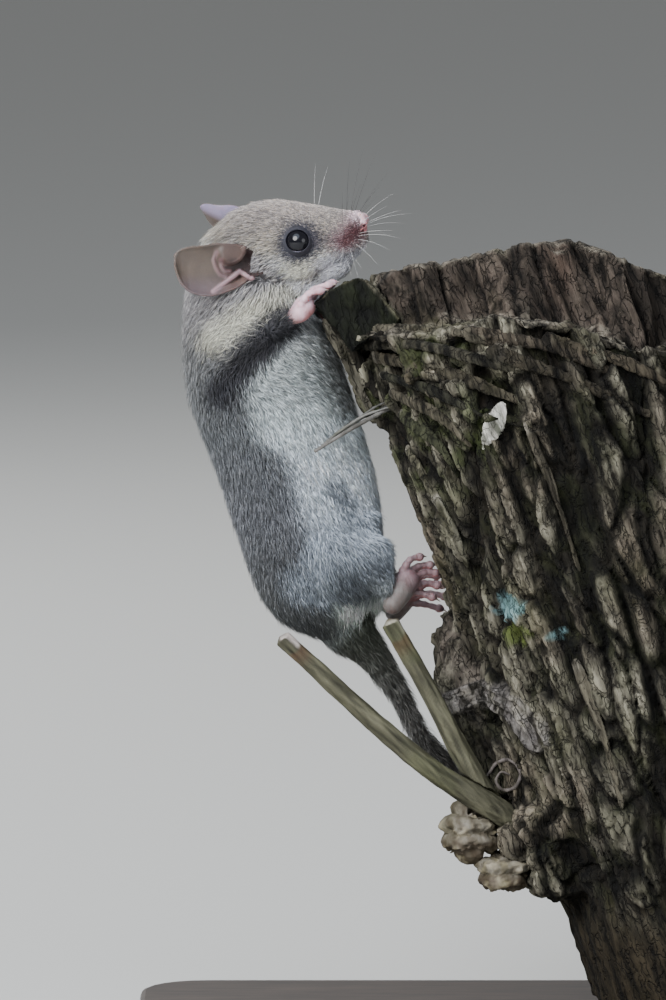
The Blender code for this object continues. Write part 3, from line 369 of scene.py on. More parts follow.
def coat_value(shares, column):
    """A value of the lines, blended by their shares."""
    values = np.array([GROWTH[name][column] for name in LINE_NAMES])
    return values @ shares


print("lines can be asked")

# %% [markdown]
# ## The skin
# Under its fur the animal has one unbroken skin. The solids of the flesh are copied, grown
# until they touch, fused by a voxel remesh and smoothed. Then the surface sinks by the depth
# of the coat, so that the locks that stand on it end where the solids end.

# %% Body under the skin
FLESH = ("neck", "chest", "belly", "rump", "upper_arm_right", "upper_arm_left",
         "forearm_right", "forearm_left", "thigh_right", "thigh_left", "shank_right",
         "shank_left", "tail_1", "tail_2", "tail_3", "tail_4")
FUSE_GROWTH = 0.25
FUSE_VOXEL = 0.5
# Balls that fill the notch above the knee: right, up, away, radius
GROIN = ((-33.4, 94.6, -3.4, 2.4), (-32.3, 96.4, -3.8, 2.0))
KNEE_PULL = 0.8
KNEE_SMOOTHING = 45
GROUP_FLOOR = 0.05

groin = clay("groin", string_of_balls(GROIN), 0.4, 1)
body = join([merged_copy(node) for node in FLESH] + [groin], "body_form")
work(body, "DISPLACE", strength=FUSE_GROWTH * MM, mid_level=0.0)
work(body, "REMESH", mode="VOXEL", voxel_size=FUSE_VOXEL * MM)
work(body, "SMOOTH", factor=0.5, iterations=6)
rows = corners(body)
right, up = picture(rows).T
knee = ease(-33.5, -28.5, right) * ease(82.5, 86.0, up) * (1.0 - ease(93.0, 98.0, up))
rows[:, 0] -= KNEE_PULL * MM * knee * (rows[:, 1] < 3.0 * MM)
place_corners(body, rows)
near_knee = ease(-39.0, -35.0, right) * ease(83.0, 87.0, up) * (1.0 - ease(98.0, 103.0, up))
work(body, "SMOOTH", factor=0.9, iterations=KNEE_SMOOTHING,
     vertex_group=group_of(body, "ledge", near_knee * (near_knee > GROUP_FLOOR)))
body.vertex_groups.clear()
rows = corners(body)
shares, _, _ = ask_lines(rows)
sink = coat_value(shares, 2) + FUSE_GROWTH
place_corners(body, rows - outward(body) * (sink * MM)[:, None])
work(body, "SMOOTH", factor=0.5, iterations=8)
print("body form:", len(body.data.polygons), "faces")

# %% Head under the skin
HEAD = ((-17.5, -3.3, 4.3, 3.5), (-15.5, -2.9, 6.3, 4.8), (-11.8, -1.4, 7.9, 6.1),
        (-8.1, -0.5, 8.1, 6.8), (-4.4, -0.35, 7.8, 6.9), (-0.7, -0.5, 7.0, 6.6),
        (3.0, -0.5, 5.9, 6.0), (4.8, -0.35, 5.2, 5.5), (6.7, 0.1, 4.4, 4.8),
        (8.5, 0.8, 3.6, 3.9), (10.3, 1.4, 2.8, 3.0), (11.2, 1.6, 1.9, 2.2))
HEAD_COAT = 0.2
HEAD_SIDES = 40
EYE_RADIUS = 2.4
EYE_PLACE = (0.2, 5.25, 1.35)
EYE_OUT = (0.1, 0.9, 0.43)
ORBIT_RADIUS = 2.7
# Balls on the head: place ahead, right and up, with their half sizes the same way
CHEEKS = (((7.6, 2.1, 0.4), (3.1, 2.1, 2.8)), ((-1.0, 3.6, -3.4), (4.4, 3.1, 2.7)))
JAW = (((7.5, 0.0, -2.7), (2.8, 1.8, 1.9)), ((5.9, 0.0, -3.9), (3.1, 2.3, 1.8)),
       ((3.4, 0.0, -5.2), (4.7, 3.5, 2.9)),
       ((-1.5, 0.0, -7.6), (6.1, 5.3, 4.7)))
LIPS = (((9.9, 0.85, 0.0), (1.75, 1.3, 1.7)), ((10.0, 0.9, -1.2), (1.75, 1.3, 1.3)),
        ((10.4, 0.5, 2.6), (1.3, 1.3, 1.9)))
HEAD_WAYS = (NOSE_WAY, CHEEK_WAY, CROWN_WAY)
HEAD_TURN = Matrix(HEAD_WAYS).transposed()


def head_ring(ahead, up, half_width, half_height):
    """A ring of the head, sunk by the depth of the coat."""
    return ahead, up, half_width - HEAD_COAT, half_height - HEAD_COAT


def make_head_form():
    """Rings from the nape to the nose, extruded one from the other, with balls pressed on."""
    start, *others = [head_ring(*row) for row in HEAD]
    head = settle(made(bpy.ops.mesh.primitive_circle_add, vertices=HEAD_SIDES, radius=1.0,
                       fill_type="NGON", rotation=(0.0, math.radians(90.0), 0.0)))
    bpy.ops.object.mode_set(mode="EDIT")
    bpy.ops.mesh.select_all(action="SELECT")
    bpy.ops.transform.resize(value=(1.0, start[2], start[3]))
    bpy.ops.transform.translate(value=(start[0], 0.0, start[1]))
    before = start
    for ring in others:
        step = (ring[0] - before[0], 0.0, ring[1] - before[1])
        bpy.ops.mesh.extrude_region_move(TRANSFORM_OT_translate={"value": step})
        bpy.ops.transform.resize(value=(1.0, ring[2] / before[2], ring[3] / before[3]),
                                 center_override=(ring[0], 0.0, ring[1]))
        before = ring
    balls = list(JAW)
    for side in (RIGHT, LEFT):
        for (ahead, right, up), half in CHEEKS + LIPS:
            balls.append(((ahead, right * side, up), half))
        ahead, right, up = EYE_PLACE
        balls.append(((ahead, right * side, up), (ORBIT_RADIUS,) * 3))
    for centre, half in balls:
        bpy.ops.mesh.primitive_ico_sphere_add(subdivisions=3, radius=1.0, location=centre,
                                              scale=half)
    bpy.ops.object.mode_set(mode="OBJECT")
    head.scale = (MM, MM, MM)
    settle(head)
    head.name = "head_form"
    work(head, "REMESH", mode="VOXEL", voxel_size=0.3 * MM)
    work(head, "SMOOTH", factor=0.5, iterations=4)
    head.matrix_world = Matrix.Translation(HEAD_MIDDLE) @ HEAD_TURN.to_4x4()
    return settle(head)


head_form = make_head_form()
print("head form:", len(head_form.data.polygons), "faces")

# %% One skin of both
SKIN_VOXEL = 0.24
SKIN_FACES = 120000
JOINT_SMOOTHING = 30

skin = join([body, head_form], "skin")
work(skin, "REMESH", mode="VOXEL", voxel_size=SKIN_VOXEL * MM)
work(skin, "SMOOTH", factor=0.5, iterations=3)
rows = corners(skin)
shares, _, _ = ask_lines(rows)
# The head's share rises from 0 to 1 over the nape, so this product is highest half way
joint = np.clip(4.0 * shares[0] * (1.0 - shares[0]), 0.0, 1.0)
work(skin, "SMOOTH", factor=0.95, iterations=JOINT_SMOOTHING,
     vertex_group=group_of(skin, "joint", joint * (joint > GROUP_FLOOR)))
in_face = ease(-9.0, -5.0, head_places(rows)[:, 0]) * (shares[0] > 0.3)
triangles = sum(len(face.vertices) - 2 for face in skin.data.polygons)
work(skin, "DECIMATE", ratio=min(1.0, SKIN_FACES / triangles), use_collapse_triangulate=True,
     vertex_group=group_of(skin, "away_from_face", 1.0 - in_face))
skin.vertex_groups.clear()
print("skin:", triangles, "triangles, then", len(skin.data.polygons))

# %% [markdown]
# ## Shape of the ears
# The big rounded ears are cups. One formula gives a point of a cup, because three steps need
# it: the skin opens under the cup, no lock grows in it, and the ear itself is bent to it.

# %% The cup of an ear
EAR_ROOTS = {RIGHT: (-8.5, 8.2, -0.7), LEFT: (-8.9, 8.2, -1.5)}
EAR_TIP_WAY = (-0.915, 0.352, 0.19)
EAR_CROSS_WAY = (0.034, -0.404, 0.912)
EAR_CUP_WAY = (0.398, 0.844, 0.359)
# Rows of the ear: towards the tip, lower edge, upper edge, depth of the cup
EAR = ((-2.6, -2.4, 0.8, 2.6), (-1.0, -2.9, 1.5, 2.6), (0.6, -3.9, 2.3, 2.5),
       (2.4, -5.1, 2.9, 2.1), (4.6, -6.0, 2.95, 1.7), (7.0, -6.6, 2.75, 1.4),
       (9.2, -6.5, 2.45, 1.2), (11.2, -5.8, 2.15, 1.0), (12.6, -4.5, 1.8, 0.7),
       (13.3, -2.9, 1.3, 0.4), (13.7, -1.4, 0.5, 0.2))
EAR_THICKNESS = 0.45
EAR_STAND_OUT = 1.2
CUP_START = -0.7
HOLLOW_LENGTH = 9.0
HOLLOW_SINK = -0.35
HOLLOW_REACH = 5.0
EAR_LONG_STEPS = 60
EAR_CROSS_STEPS = 44
# Ridges inside the cup: towards the tip, across, height over the sheet, radius
EAR_RIDGES = (
    ((6.6, -5.7, 0.1, 0.3), (5.2, -4.7, 0.25, 0.42), (3.9, -3.8, 0.6, 0.5), (2.7, -2.9, 1.0, 0.6),
     (1.7, -2.1, 1.3, 0.62), (0.7, -2.6, 1.2, 0.55), (-0.5, -3.6, 0.9, 0.5)),
    ((1.1, 2.1, 0.1, 0.3), (0.8, 1.3, 0.2, 0.34), (1.3, 0.4, 0.1, 0.34), (2.2, -0.35, 0.1, 0.34),
     (3.3, -0.75, 0.1, 0.32), (4.5, -0.7, 0.0, 0.3)),
    ((5.9, 1.3, 0.0, 0.3), (6.3, 0.0, 0.12, 0.38), (5.9, -1.35, 0.15, 0.4), (5.1, -2.6, 0.15, 0.38),
     (3.9, -3.1, 0.15, 0.34)),
    ((5.0, 0.0, 0.05, 0.3), (4.8, -1.2, 0.15, 0.36), (4.2, -2.0, 0.2, 0.36),
     (3.2, -2.1, 0.2, 0.32)),
)
# The flap that roofs the hollow: middle towards the tip and across, half sizes, height
EAR_FLAP = ((3.6, 1.5), (3.0, 2.35), 1.5)
FAR_EDGE_RISE = 1.0


def ear_ways(side):
    """The ways towards the tip, across and out of the cup of one ear."""
    return [NOSE_WAY * way[0] + CHEEK_WAY * (way[1] * side) + CROWN_WAY * way[2]
            for way in (EAR_TIP_WAY, EAR_CROSS_WAY, EAR_CUP_WAY)]


def ear_root(side):
    ahead, right, up = EAR_ROOTS[side]
    return in_head(ahead, right * side, up)


def ear_local(points, side):
    """How far rows of points lie towards the tip, across and out of one ear, in millimetres."""
    rows = (np.asarray(points, float) - np.array(ear_root(side))) / MM
    return [rows @ np.array(way) for way in ear_ways(side)]


def ear_row(towards):
    """Lower edge, upper edge and depth of the cup at places towards the tip."""
    table = np.array(EAR)
    return [np.interp(towards, table[:, 0], table[:, i]) for i in (1, 2, 3)]


def cup_lift(towards, across, depth):
    """How far the sheet of an ear stands out of the plane through its root."""
    stand = EAR_STAND_OUT * towards / 13.0 * (0.5 - 0.5 * across)
    return stand - depth * (1.0 - np.abs(across) ** 2.4)


def ear_place(side, towards, across, lift=0.0):
    """A point on the sheet of an ear, and across says how wide as a share from -1 to 1."""
    low, high, depth = ear_row(towards)
    tip_way, cross_way, cup_way = ear_ways(side)
    q = low + (high - low) * (across + 1.0) / 2.0
    cup = float(cup_lift(towards, across, depth))
    wave = 0.07 * math.sin(towards * 1.25 + 0.6) * max(0.0, across) ** 3
    rim = 0.12 * max(0.0, abs(across) - 0.86) / 0.14
    if side == LEFT:
        wave += FAR_EDGE_RISE * (across + 1.0) / 2.0 * (1.0 - ease(6.0, 11.0, towards))
    (flap_towards, flap_across), (half_long, half_wide), height = EAR_FLAP
    gap = math.hypot((towards - flap_towards) / half_long, (q - flap_across) / half_wide)
    edge = 0.82 - 0.6 * ease(flap_towards - 0.5, flap_towards + 2.5, towards)
    lift += height * (1.0 - ease(edge, 1.02, gap)) * (1.0 - abs(across) ** 3)
    spot = tip_way * towards + cross_way * (q + wave) + cup_way * (cup + lift + rim)
    return ear_root(side) + spot * MM


def in_ear_cup(points, side, low=-0.5, high=4.5, reach=13.0):
    """Which rows of points lie in the hollow of an ear."""
    towards, across, out = ear_local(points, side)
    lower, upper, depth = ear_row(towards)
    share = 2.0 * (across - lower) / (upper - lower) - 1.0
    lift = out - cup_lift(towards, np.clip(share, -1.0, 1.0), depth)
    inside = (towards > CUP_START) & (towards < reach) & (np.abs(share) < 1.0)
    return inside & (lift > low) & (lift < high)


print("an ear is", EAR[-1][0] - EAR[0][0], "mm long")

# %% Where eyes, mouth and ear cups open
EYE_CENTRES = [in_head(EYE_PLACE[0], EYE_PLACE[1] * side, EYE_PLACE[2]) for side in (RIGHT, LEFT)]
EYE_WAYS = [(NOSE_WAY * EYE_OUT[0] + CHEEK_WAY * EYE_OUT[1] * side
             + CROWN_WAY * EYE_OUT[2]).normalized() for side in (RIGHT, LEFT)]
LID_HALF_LONG = math.radians(67.0)
LID_HALF_HIGH = math.radians(59.0)
# Room between the eye and the skin, in the ball's hollow and at the lids
SOCKET_ROOM = 0.06
LID_ROOM = 0.1
LID_HOLE_DEPTH = 2.4
MOUTH = ((11.4, 0.0, -0.8), (10.7, 1.0, -1.4), (9.0, 2.0, -2.4), (7.0, 3.0, -3.0),
         (5.2, 3.8, -2.9))
MOUTH_GROOVE = 0.26
MOUTH_BALLS = 34


def eye_axes(out):
    """The ways ahead and above in the opening of an eye."""
    ahead = (NOSE_WAY - out * NOSE_WAY.dot(out)).normalized()
    above = out.cross(ahead)
    return (ahead, above) if above.dot(CROWN_WAY) > 0.0 else (ahead, -above)


def cut_out(thing, tools):
    """Takes tool bodies out of a body, and the tools away."""
    pick(thing)
    for tool in tools:
        modifier = thing.modifiers.new("Cut", "BOOLEAN")
        modifier.operation = "DIFFERENCE"
        modifier.solver = "MANIFOLD"
        modifier.object = tool
        bpy.ops.object.modifier_apply(modifier=modifier.name)
        bpy.data.objects.remove(tool)
    return thing


def ball_tool(centre, half, axes):
    """A ball of three half sizes in mm along three ways, as a cutting tool."""
    tool = made(bpy.ops.mesh.primitive_uv_sphere_add, segments=40, ring_count=28, radius=MM)
    tool.scale = half
    settle(tool)
    turn = Matrix(axes).transposed()
    if turn.determinant() < 0.0:
        turn = Matrix((axes[0], -axes[1], axes[2])).transposed()
    tool.matrix_world = Matrix.Translation(centre) @ turn.to_4x4()
    return settle(tool)


def mouth_tools():
    """Balls in a row along the line between the lips, laid on the skin."""
    surface = search_tree(skin)
    tools = []
    for side in (RIGHT, LEFT):
        line = along([(a, r * side, u) for a, r, u in MOUTH], MOUTH_BALLS)
        spots = [surface.find_nearest(in_head(*spot))[0] for spot in line]
        balls = [(spot, (MOUTH_GROOVE * (1.0 - 0.5 * i / MOUTH_BALLS),) * 3, (0, 0, 0))
                 for i, spot in enumerate(spots)]
        tools.append(clay("mouth_tool", balls, 0.12, 1))
    return tools


def search_tree(thing):
    """A search tree over the faces of an object."""
    mesh = thing.data
    return BVHTree.FromPolygons([v.co for v in mesh.vertices], [f.vertices for f in mesh.polygons])


def cup_tool(side):
    """The hollow of an ear as a body: a sheet below the cup, extruded outwards."""
    tool = made(bpy.ops.mesh.primitive_grid_add, x_subdivisions=20, y_subdivisions=20, size=2.0)
    for vertex in tool.data.vertices:
        towards = CUP_START + (vertex.co.x + 1.0) / 2.0 * HOLLOW_LENGTH
        vertex.co = ear_place(side, towards, vertex.co.y * 0.98, HOLLOW_SINK)
    edit_all(tool, bpy.ops.mesh.extrude_region_move,
             TRANSFORM_OT_translate={"value": ear_ways(side)[2] * HOLLOW_REACH * MM})
    return edit_all(tool, bpy.ops.mesh.normals_make_consistent, inside=False)


opening_tools = []
for centre, out in zip(EYE_CENTRES, EYE_WAYS):
    axes = (*eye_axes(out), out)
    opening_tools.append(ball_tool(centre, (EYE_RADIUS + SOCKET_ROOM,) * 3, axes))
    half = ((EYE_RADIUS + LID_ROOM) * math.sin(LID_HALF_LONG),
            (EYE_RADIUS + LID_ROOM) * math.sin(LID_HALF_HIGH), LID_HOLE_DEPTH)
    opening_tools.append(ball_tool(centre + out * EYE_RADIUS * MM, half, axes))
opening_tools += [cup_tool(RIGHT), cup_tool(LEFT)]
cut_out(skin, opening_tools + mouth_tools())
print("skin with its openings:", len(skin.data.polygons), "faces")

# %% [markdown]
# ## Markings
# One function gives the colour of the coat at any place, so that the skin and the locks carry
# the same markings: grey back, pale belly, cream shoulder, dark forearm, peppered thigh, and a
# dark ring round the eye. It paints shade too: on the chest by the trunk, partly under the forearm
# and at the root of each ear; and it paints light under the legs. The far side is folded over the
# middle plane onto the near side.

# %% Tones and where they lie
def tone(red, green, blue):
    """A colour of light from the numbers 0 to 255 that a paint box shows."""
    values = np.array((red, green, blue)) / 255.0
    return np.where(values < 0.04045, values / 12.92, ((values + 0.055) / 1.055) ** 2.4)


BACK_TONES = ((72.0, (66, 69, 68)), (82.0, (86, 88, 90)), (96.0, (100, 102, 107)),
              (112.0, (96, 99, 102)), (124.0, (112, 113, 114)), (134.0, (140, 138, 140)))
BELLY_TONES = ((76.0, (128, 134, 132)), (90.0, (156, 163, 172)), (102.0, (196, 204, 213)),
               (114.0, (176, 184, 186)), (126.0, (150, 155, 155)), (136.0, (176, 177, 184)))
BELLY_BORDER = ((70.0, -38.0), (77.8, -39.0), (86.8, -42.0), (95.8, -44.6), (104.5, -45.9),
                (107.0, -47.5), (110.2, -52.2), (113.8, -52.9), (119.2, -54.4), (122.8, -51.7),
                (128.2, -48.1), (136.0, -47.6), (142.0, -50.0))
UNDERSIDE = ((-37.0, 79.2), (-31.5, 78.2), (-27.5, 78.0))
# Soft patches in the picture: their line, half width, softness, strength and tone
PATCHES = (
    ("cream shoulder", ((-47.6, 135.6), (-53.6, 132.8), (-60.4, 128.0)), 1.8, 2.2, 0.8,
     (184, 182, 168)),
    # The dark under the forearm is partly dark underfur and partly painted shade under the arm.
    ("dark forearm", ((-48.4, 130.4), (-52.4, 126.8), (-56.2, 122.8), (-58.6, 118.6)), 2.7, 2.2,
     0.95, (42, 42, 47)),
    # Painted shade: the chest's side by the trunk is darkened as if in the trunk's shadow.
    ("shaded chest", ((-40.6, 130.6), (-39.4, 124.0), (-37.2, 116.0)), 1.9, 3.2, 0.8,
     (72, 71, 70)),
    ("thigh flecks", ((-39.6, 101.4), (-37.4, 98.4)), 1.0, 2.0, 0.75, (62, 68, 78)),
    ("dark lower thigh", ((-37.0, 84.4), (-33.5, 84.8), (-31.0, 86.4)), 1.9, 3.0, 0.7,
     (58, 62, 68)),
    ("pale underside", UNDERSIDE, 1.3, 1.5, 0.85, (190, 206, 190)),
)
TRUNK_MIDDLE = np.array([[row[1], row[0]] for row in TORSO][::-1])


def blend_rows(table, where):
    """Tones of a table of (place, tone) rows at the given places."""
    places = [row[0] for row in table]
    tones = np.array([tone(*row[1]) for row in table])
    return np.stack([np.interp(where, places, tones[:, i]) for i in range(3)], axis=1)


def near_side(points):
    """Points of the far side folded over the body's middle plane."""
    rows = np.array(points, float)
    right_up = picture(rows)
    middle = np.interp(right_up[:, 1], TRUNK_MIDDLE[:, 0], TRUNK_MIDDLE[:, 1]) * MM
    plane = middle * RIGHT_WAY.x + BODY_DEPTH * MM * RIGHT_WAY.y
    beyond = np.minimum(rows @ np.array(RIGHT_WAY) - plane, 0.0)
    return rows - 2.0 * beyond[:, None] * np.array(RIGHT_WAY)


def gap_to_line(right_up, line):
    """Distances in the picture from places to a line of places."""
    best = np.full(len(right_up), 1e9)
    for a, b in zip(line, line[1:]):
        a, b = np.array(a), np.array(b)
        step = b - a
        t = np.clip((right_up - a) @ step / (step @ step), 0.0, 1.0)
        best = np.minimum(best, np.linalg.norm(right_up - (a + t[:, None] * step), axis=1))
    return best


def share_of(shares, *names):
    return sum(shares[LINE_NAMES.index(name)] for name in names)


def mix_in(colours, mask, new):
    """Rows of colours with a new one laid over them as thickly as the mask says."""
    return colours + (new - colours) * mask[:, None]


def one_tone(shade, rows):
    """The same tone for every row."""
    return np.tile(tone(*shade), (len(rows), 1))


def body_colours(points, shares):
    """Colours of the coat on body, legs and tail."""
    right_up = picture(near_side(points))
    right, up = right_up[:, 0], right_up[:, 1]
    colours = blend_rows(BACK_TONES, up)
    border = np.interp(up, [row[0] for row in BELLY_BORDER], [row[1] for row in BELLY_BORDER])
    colours = mix_in(colours, ease(-2.6, 2.0, right - border), blend_rows(BELLY_TONES, up))
    thigh = share_of(shares, "thigh_right", "thigh_left", "shank_right", "shank_left")
    colours = mix_in(colours, 0.8 * ease(0.25, 0.7, thigh), tone(134, 142, 152))
    for _, line, half, soft, strength, shade in PATCHES:
        gap = gap_to_line(right_up, line)
        colours = mix_in(colours, strength * (1.0 - ease(half - soft / 2, half + soft, gap)),
                         tone(*shade))
    shin = share_of(shares, "shank_right", "shank_left") * (1.0 - ease(82.5, 86.5, up))
    colours = mix_in(colours, 0.8 * shin, tone(118, 122, 122))
    # The far leg's underside gets a paler greenish tone: partly its pale fur, partly painted light
    # where it lies in shade.
    under = share_of(shares, "thigh_left", "shank_left") * (1.0 - ease(80.0, 84.0, up))
    colours = mix_in(colours, 0.7 * under, tone(120, 128, 118))
    # Painted light: along the underside of the leg the fur is brightened up to 2.3 times, against
    # the shade under it.
    below = 1.0 - ease(1.0, 2.4, gap_to_line(right_up, UNDERSIDE))
    colours = colours * (1.0 + 1.3 * below)[:, None]
    tail = share_of(shares, "tail")
    return mix_in(colours, ease(0.2, 0.6, tail), blend_rows(
        ((60.0, (92, 91, 89)), (76.0, (62, 66, 58))), up))


def head_colours(points):
    """Colours of the coat on the head, alike on both sides."""
    ahead, side, up = head_places(points).T
    side = np.abs(side)
    colours = blend_rows(((-7.0, (146, 145, 139)), (-3.0, (164, 166, 169)), (1.0, (142, 137, 129)),
                          (5.0, (139, 133, 131))), up)
    cheek = gap_to_line(np.stack([ahead, up], axis=1), ((2.5, -2.8), (-6.0, -5.4)))
    colours = mix_in(colours, 0.6 * (1.0 - ease(0.8, 2.8, cheek)) * ease(3.0, 5.0, side),
                     tone(180, 177, 158))
    eye = np.hypot(ahead - EYE_PLACE[0] - 0.2, (up - EYE_PLACE[2] + 0.2) * 1.05)
    ring = (1.0 - ease(2.7, 5.0, eye)) * ease(2.5, 4.0, side)
    colours = mix_in(colours, 0.95 * ring, tone(52, 53, 65))
    stripe = 1.0 - ease(0.6, 2.4, np.hypot((ahead - 4.2) / 1.8, up - 1.3))
    colours = mix_in(colours, 0.6 * stripe * ease(2.0, 3.5, side), tone(72, 69, 78))
    lips = ease(1.0, 4.0, ahead) * (1.0 - ease(-2.6, -1.0, up))
    colours = mix_in(colours, 0.8 * lips, tone(184, 185, 194))
    blush = gap_to_line(np.stack([ahead, up], axis=1), ((11.0, 1.6), (9.6, 1.7), (8.3, 0.5)))
    colours = mix_in(colours, 0.8 * (1.0 - ease(0.8, 4.0, blush)), tone(122, 96, 106))
    colours = mix_in(colours, 0.9 * (1.0 - ease(0.2, 2.2, blush)), tone(70, 34, 39))
    colours = mix_in(colours, ease(3.0, 4.4, up) * ease(8.0, 10.0, ahead), tone(198, 176, 184))
    for ear in (RIGHT, LEFT):
        towards, across, _ = ear_local(points, ear)
        # Painted shade: the coat just before each ear's root is darkened brown, as in the shadow of
        # the ear's flap.
        painted_shade_at_ear_root = 1.0 - ease(0.7, 1.4, np.hypot((towards + 0.5) / 1.9, (across + 1.5) / 2.2))
        colours = mix_in(colours, 0.95 * painted_shade_at_ear_root, tone(60, 42, 41))
    return colours


def coat_colours(points):
    """Colours of the coat at rows of points in metres: markings, painted shade and painted light.
    """
    shares, _, _ = ask_lines(points)
    colours = body_colours(points, shares)
    return mix_in(colours, ease(0.25, 0.75, shares[0]), head_colours(points))


print("patches of the coat:", [patch[0] for patch in PATCHES])

# %% [markdown]
# ## Finish of skin and coat
# Hair is dull and soft: high roughness, a little sheen. Its colour comes with the mesh, from
# the markings, and a fine noise breaks it up, as no two hairs are alike.

# %% Nodes of a finish
# Sockets of Blender's mix node when it mixes colours
MIX_SHARE, FIRST_COLOUR, SECOND_COLOUR, MIXED_COLOUR = 0, 6, 7, 2


def finish(name, roughness=0.7, **sockets):
    """A new material, its Principled shader and its node tree."""
    material = bpy.data.materials.new(name)
    material.use_nodes = True
    shader = material.node_tree.nodes["Principled BSDF"]
    shader.inputs["Roughness"].default_value = roughness
    for socket, value in sockets.items():
        shader.inputs[socket.replace("_", " ")].default_value = value
    return material, shader, material.node_tree


def add_node(tree, kind, inputs, **settings):
    """A shader node; into each of its sockets goes a value or the output of another node."""
    node = tree.nodes.new("ShaderNode" + kind)
    for name, value in settings.items():
        setattr(node, name, value)
    for socket, value in inputs.items():
        if isinstance(value, bpy.types.NodeSocket):
            tree.links.new(value, node.inputs[socket])
        else:
            node.inputs[socket].default_value = value
    return node


def noise_of(tree, scale, detail=3.0, rough=0.5, stretch=(1.0, 1.0, 1.0)):
    """A noise on the object's own coordinates, with scale in waves a metre."""
    place = add_node(tree, "TexCoord", {}).outputs["Object"]
    drawn_out = add_node(tree, "Mapping", {"Vector": place, "Scale": stretch}).outputs["Vector"]
    return add_node(tree, "TexNoise", {"Vector": drawn_out, "Scale": scale, "Detail": detail,
                                       "Roughness": rough}).outputs["Fac"]


def ramp(tree, source, low, high, stops=(0.3, 0.7)):
    """A colour ramp from one tint to another between two stops of a value."""
    node = add_node(tree, "ValToRGB", {"Fac": source})
    for element, place, colour in zip(node.color_ramp.elements, stops, (low, high)):
        element.position = place
        element.color = (*colour, 1.0)
    return node.outputs["Color"]


def mixed(tree, kind, first, second, share=1.0):
    """Two colours mixed; each of the three may be a value or the output of a node."""
    sockets = {FIRST_COLOUR: first, SECOND_COLOUR: second, MIX_SHARE: share}
    return add_node(tree, "Mix", sockets, data_type="RGBA", blend_type=kind).outputs[MIXED_COLOUR]


def bump(tree, shader, height, strength, distance):
    """Lets a height bend the light on a surface; distance in millimetres."""
    node = add_node(tree, "Bump", {"Strength": strength, "Distance": distance * MM,
                                   "Height": height})
    tree.links.new(node.outputs["Normal"], shader.inputs["Normal"])


def mesh_colour(tree):
    """The colours stored with the mesh."""
    return add_node(tree, "Attribute", {}, attribute_name="markings").outputs["Color"]


def two_tints(name, roughness, scale, low, high, detail=3.0, marked=True, stops=(0.3, 0.7),
              **sockets):
    """A finish that wavers between two tints; a marked one multiplies the mesh's own colours."""
    material, shader, tree = finish(name, roughness, **sockets)
    colour = ramp(tree, noise_of(tree, scale, detail), low, high, stops)
    if marked:
        colour = mixed(tree, "MULTIPLY", mesh_colour(tree), colour)
    tree.links.new(colour, shader.inputs["Base Color"])
    return material, shader, tree


def make_fur_finish(name, low, high):
    """Dull hair, between two shares of the markings' own colours."""
    return two_tints(name, 0.62, 1400.0, (low,) * 3, (high,) * 3, Specular_IOR_Level=0.3)


coat_finish = make_fur_finish("coat_hair", 0.8, 1.15)[0]
skin_finish, skin_shader, skin_tree = make_fur_finish("skin_under_fur", 0.55, 0.8)
bump(skin_tree, skin_shader, noise_of(skin_tree, 2600.0, stretch=(1.0, 1.0, 0.35)), 0.5, 0.15)


def paint(thing, colours):
    """Stores colours of the vertices with the mesh, under the name markings, painted shade and
    light among them.
    """
    layer = thing.data.color_attributes.new(name="markings", type="BYTE_COLOR", domain="POINT")
    rows = np.ones((len(colours), 4))
    rows[:, :3] = np.clip(colours, 0.0, 1.0)
    layer.data.foreach_set("color", rows.reshape(-1))
    thing.data.color_attributes.render_color_index = 0


print("finishes of skin and coat ready")

# %% [markdown]
# ## Locks of the coat
# A real mouse-sized coat has tens of thousands of hairs. Each lock here is a thin, pointed,
# three-sided sliver that bends to lie along the body. Their roots are scattered over the skin
# by area, and all slivers of a region are written into one mesh at once, from arrays.

# %% Where locks grow
LOCKS_IN_ALL = 121000
FACE_PLENTY = 2.6
NOSE_PAD = (10.9, 0.0, 2.7)
BARE_NOSE = 1.7
BARE_EYE = 2.75


def face_rows(thing):
    """Corners, smooth normals and areas of the triangles of a mesh."""
    mesh = thing.data
    mesh.calc_loop_triangles()
    index = np.empty(len(mesh.loop_triangles) * 3, np.int64)
    mesh.loop_triangles.foreach_get("vertices", index)
    index = index.reshape(-1, 3)
    spots = corners(thing)[index]
    normals = outward(thing)[index]
    across = np.cross(spots[:, 1] - spots[:, 0], spots[:, 2] - spots[:, 0])
    area = 0.5 * np.linalg.norm(across, axis=1)
    return spots, normals, area


def plenty(middles):
    """How thickly hair grows, against the body's."""
    shares, _, _ = ask_lines(middles)
    ahead = head_places(middles)[:, 0]
    thick = 1.0 + (FACE_PLENTY - 1.0) * ease(0.3, 0.8, shares[0]) * ease(-10.0, 0.0, ahead)
    thick *= 1.0 + 0.6 * ease(0.4, 0.8, share_of(shares, "forearm_right", "forearm_left",
                                                  "shank_right", "shank_left"))
    thick *= 1.0 + 0.2 * ease(0.4, 0.8, share_of(shares, "tail"))
    for centre in EYE_CENTRES:
        thick = thick * (np.linalg.norm(middles - np.array(centre), axis=1) > BARE_EYE * MM)
    for side in (RIGHT, LEFT):
        thick = thick * ~in_ear_cup(middles, side)
    nose = np.linalg.norm(middles - np.array(in_head(*NOSE_PAD)), axis=1)
    return thick * (nose > BARE_NOSE * MM)


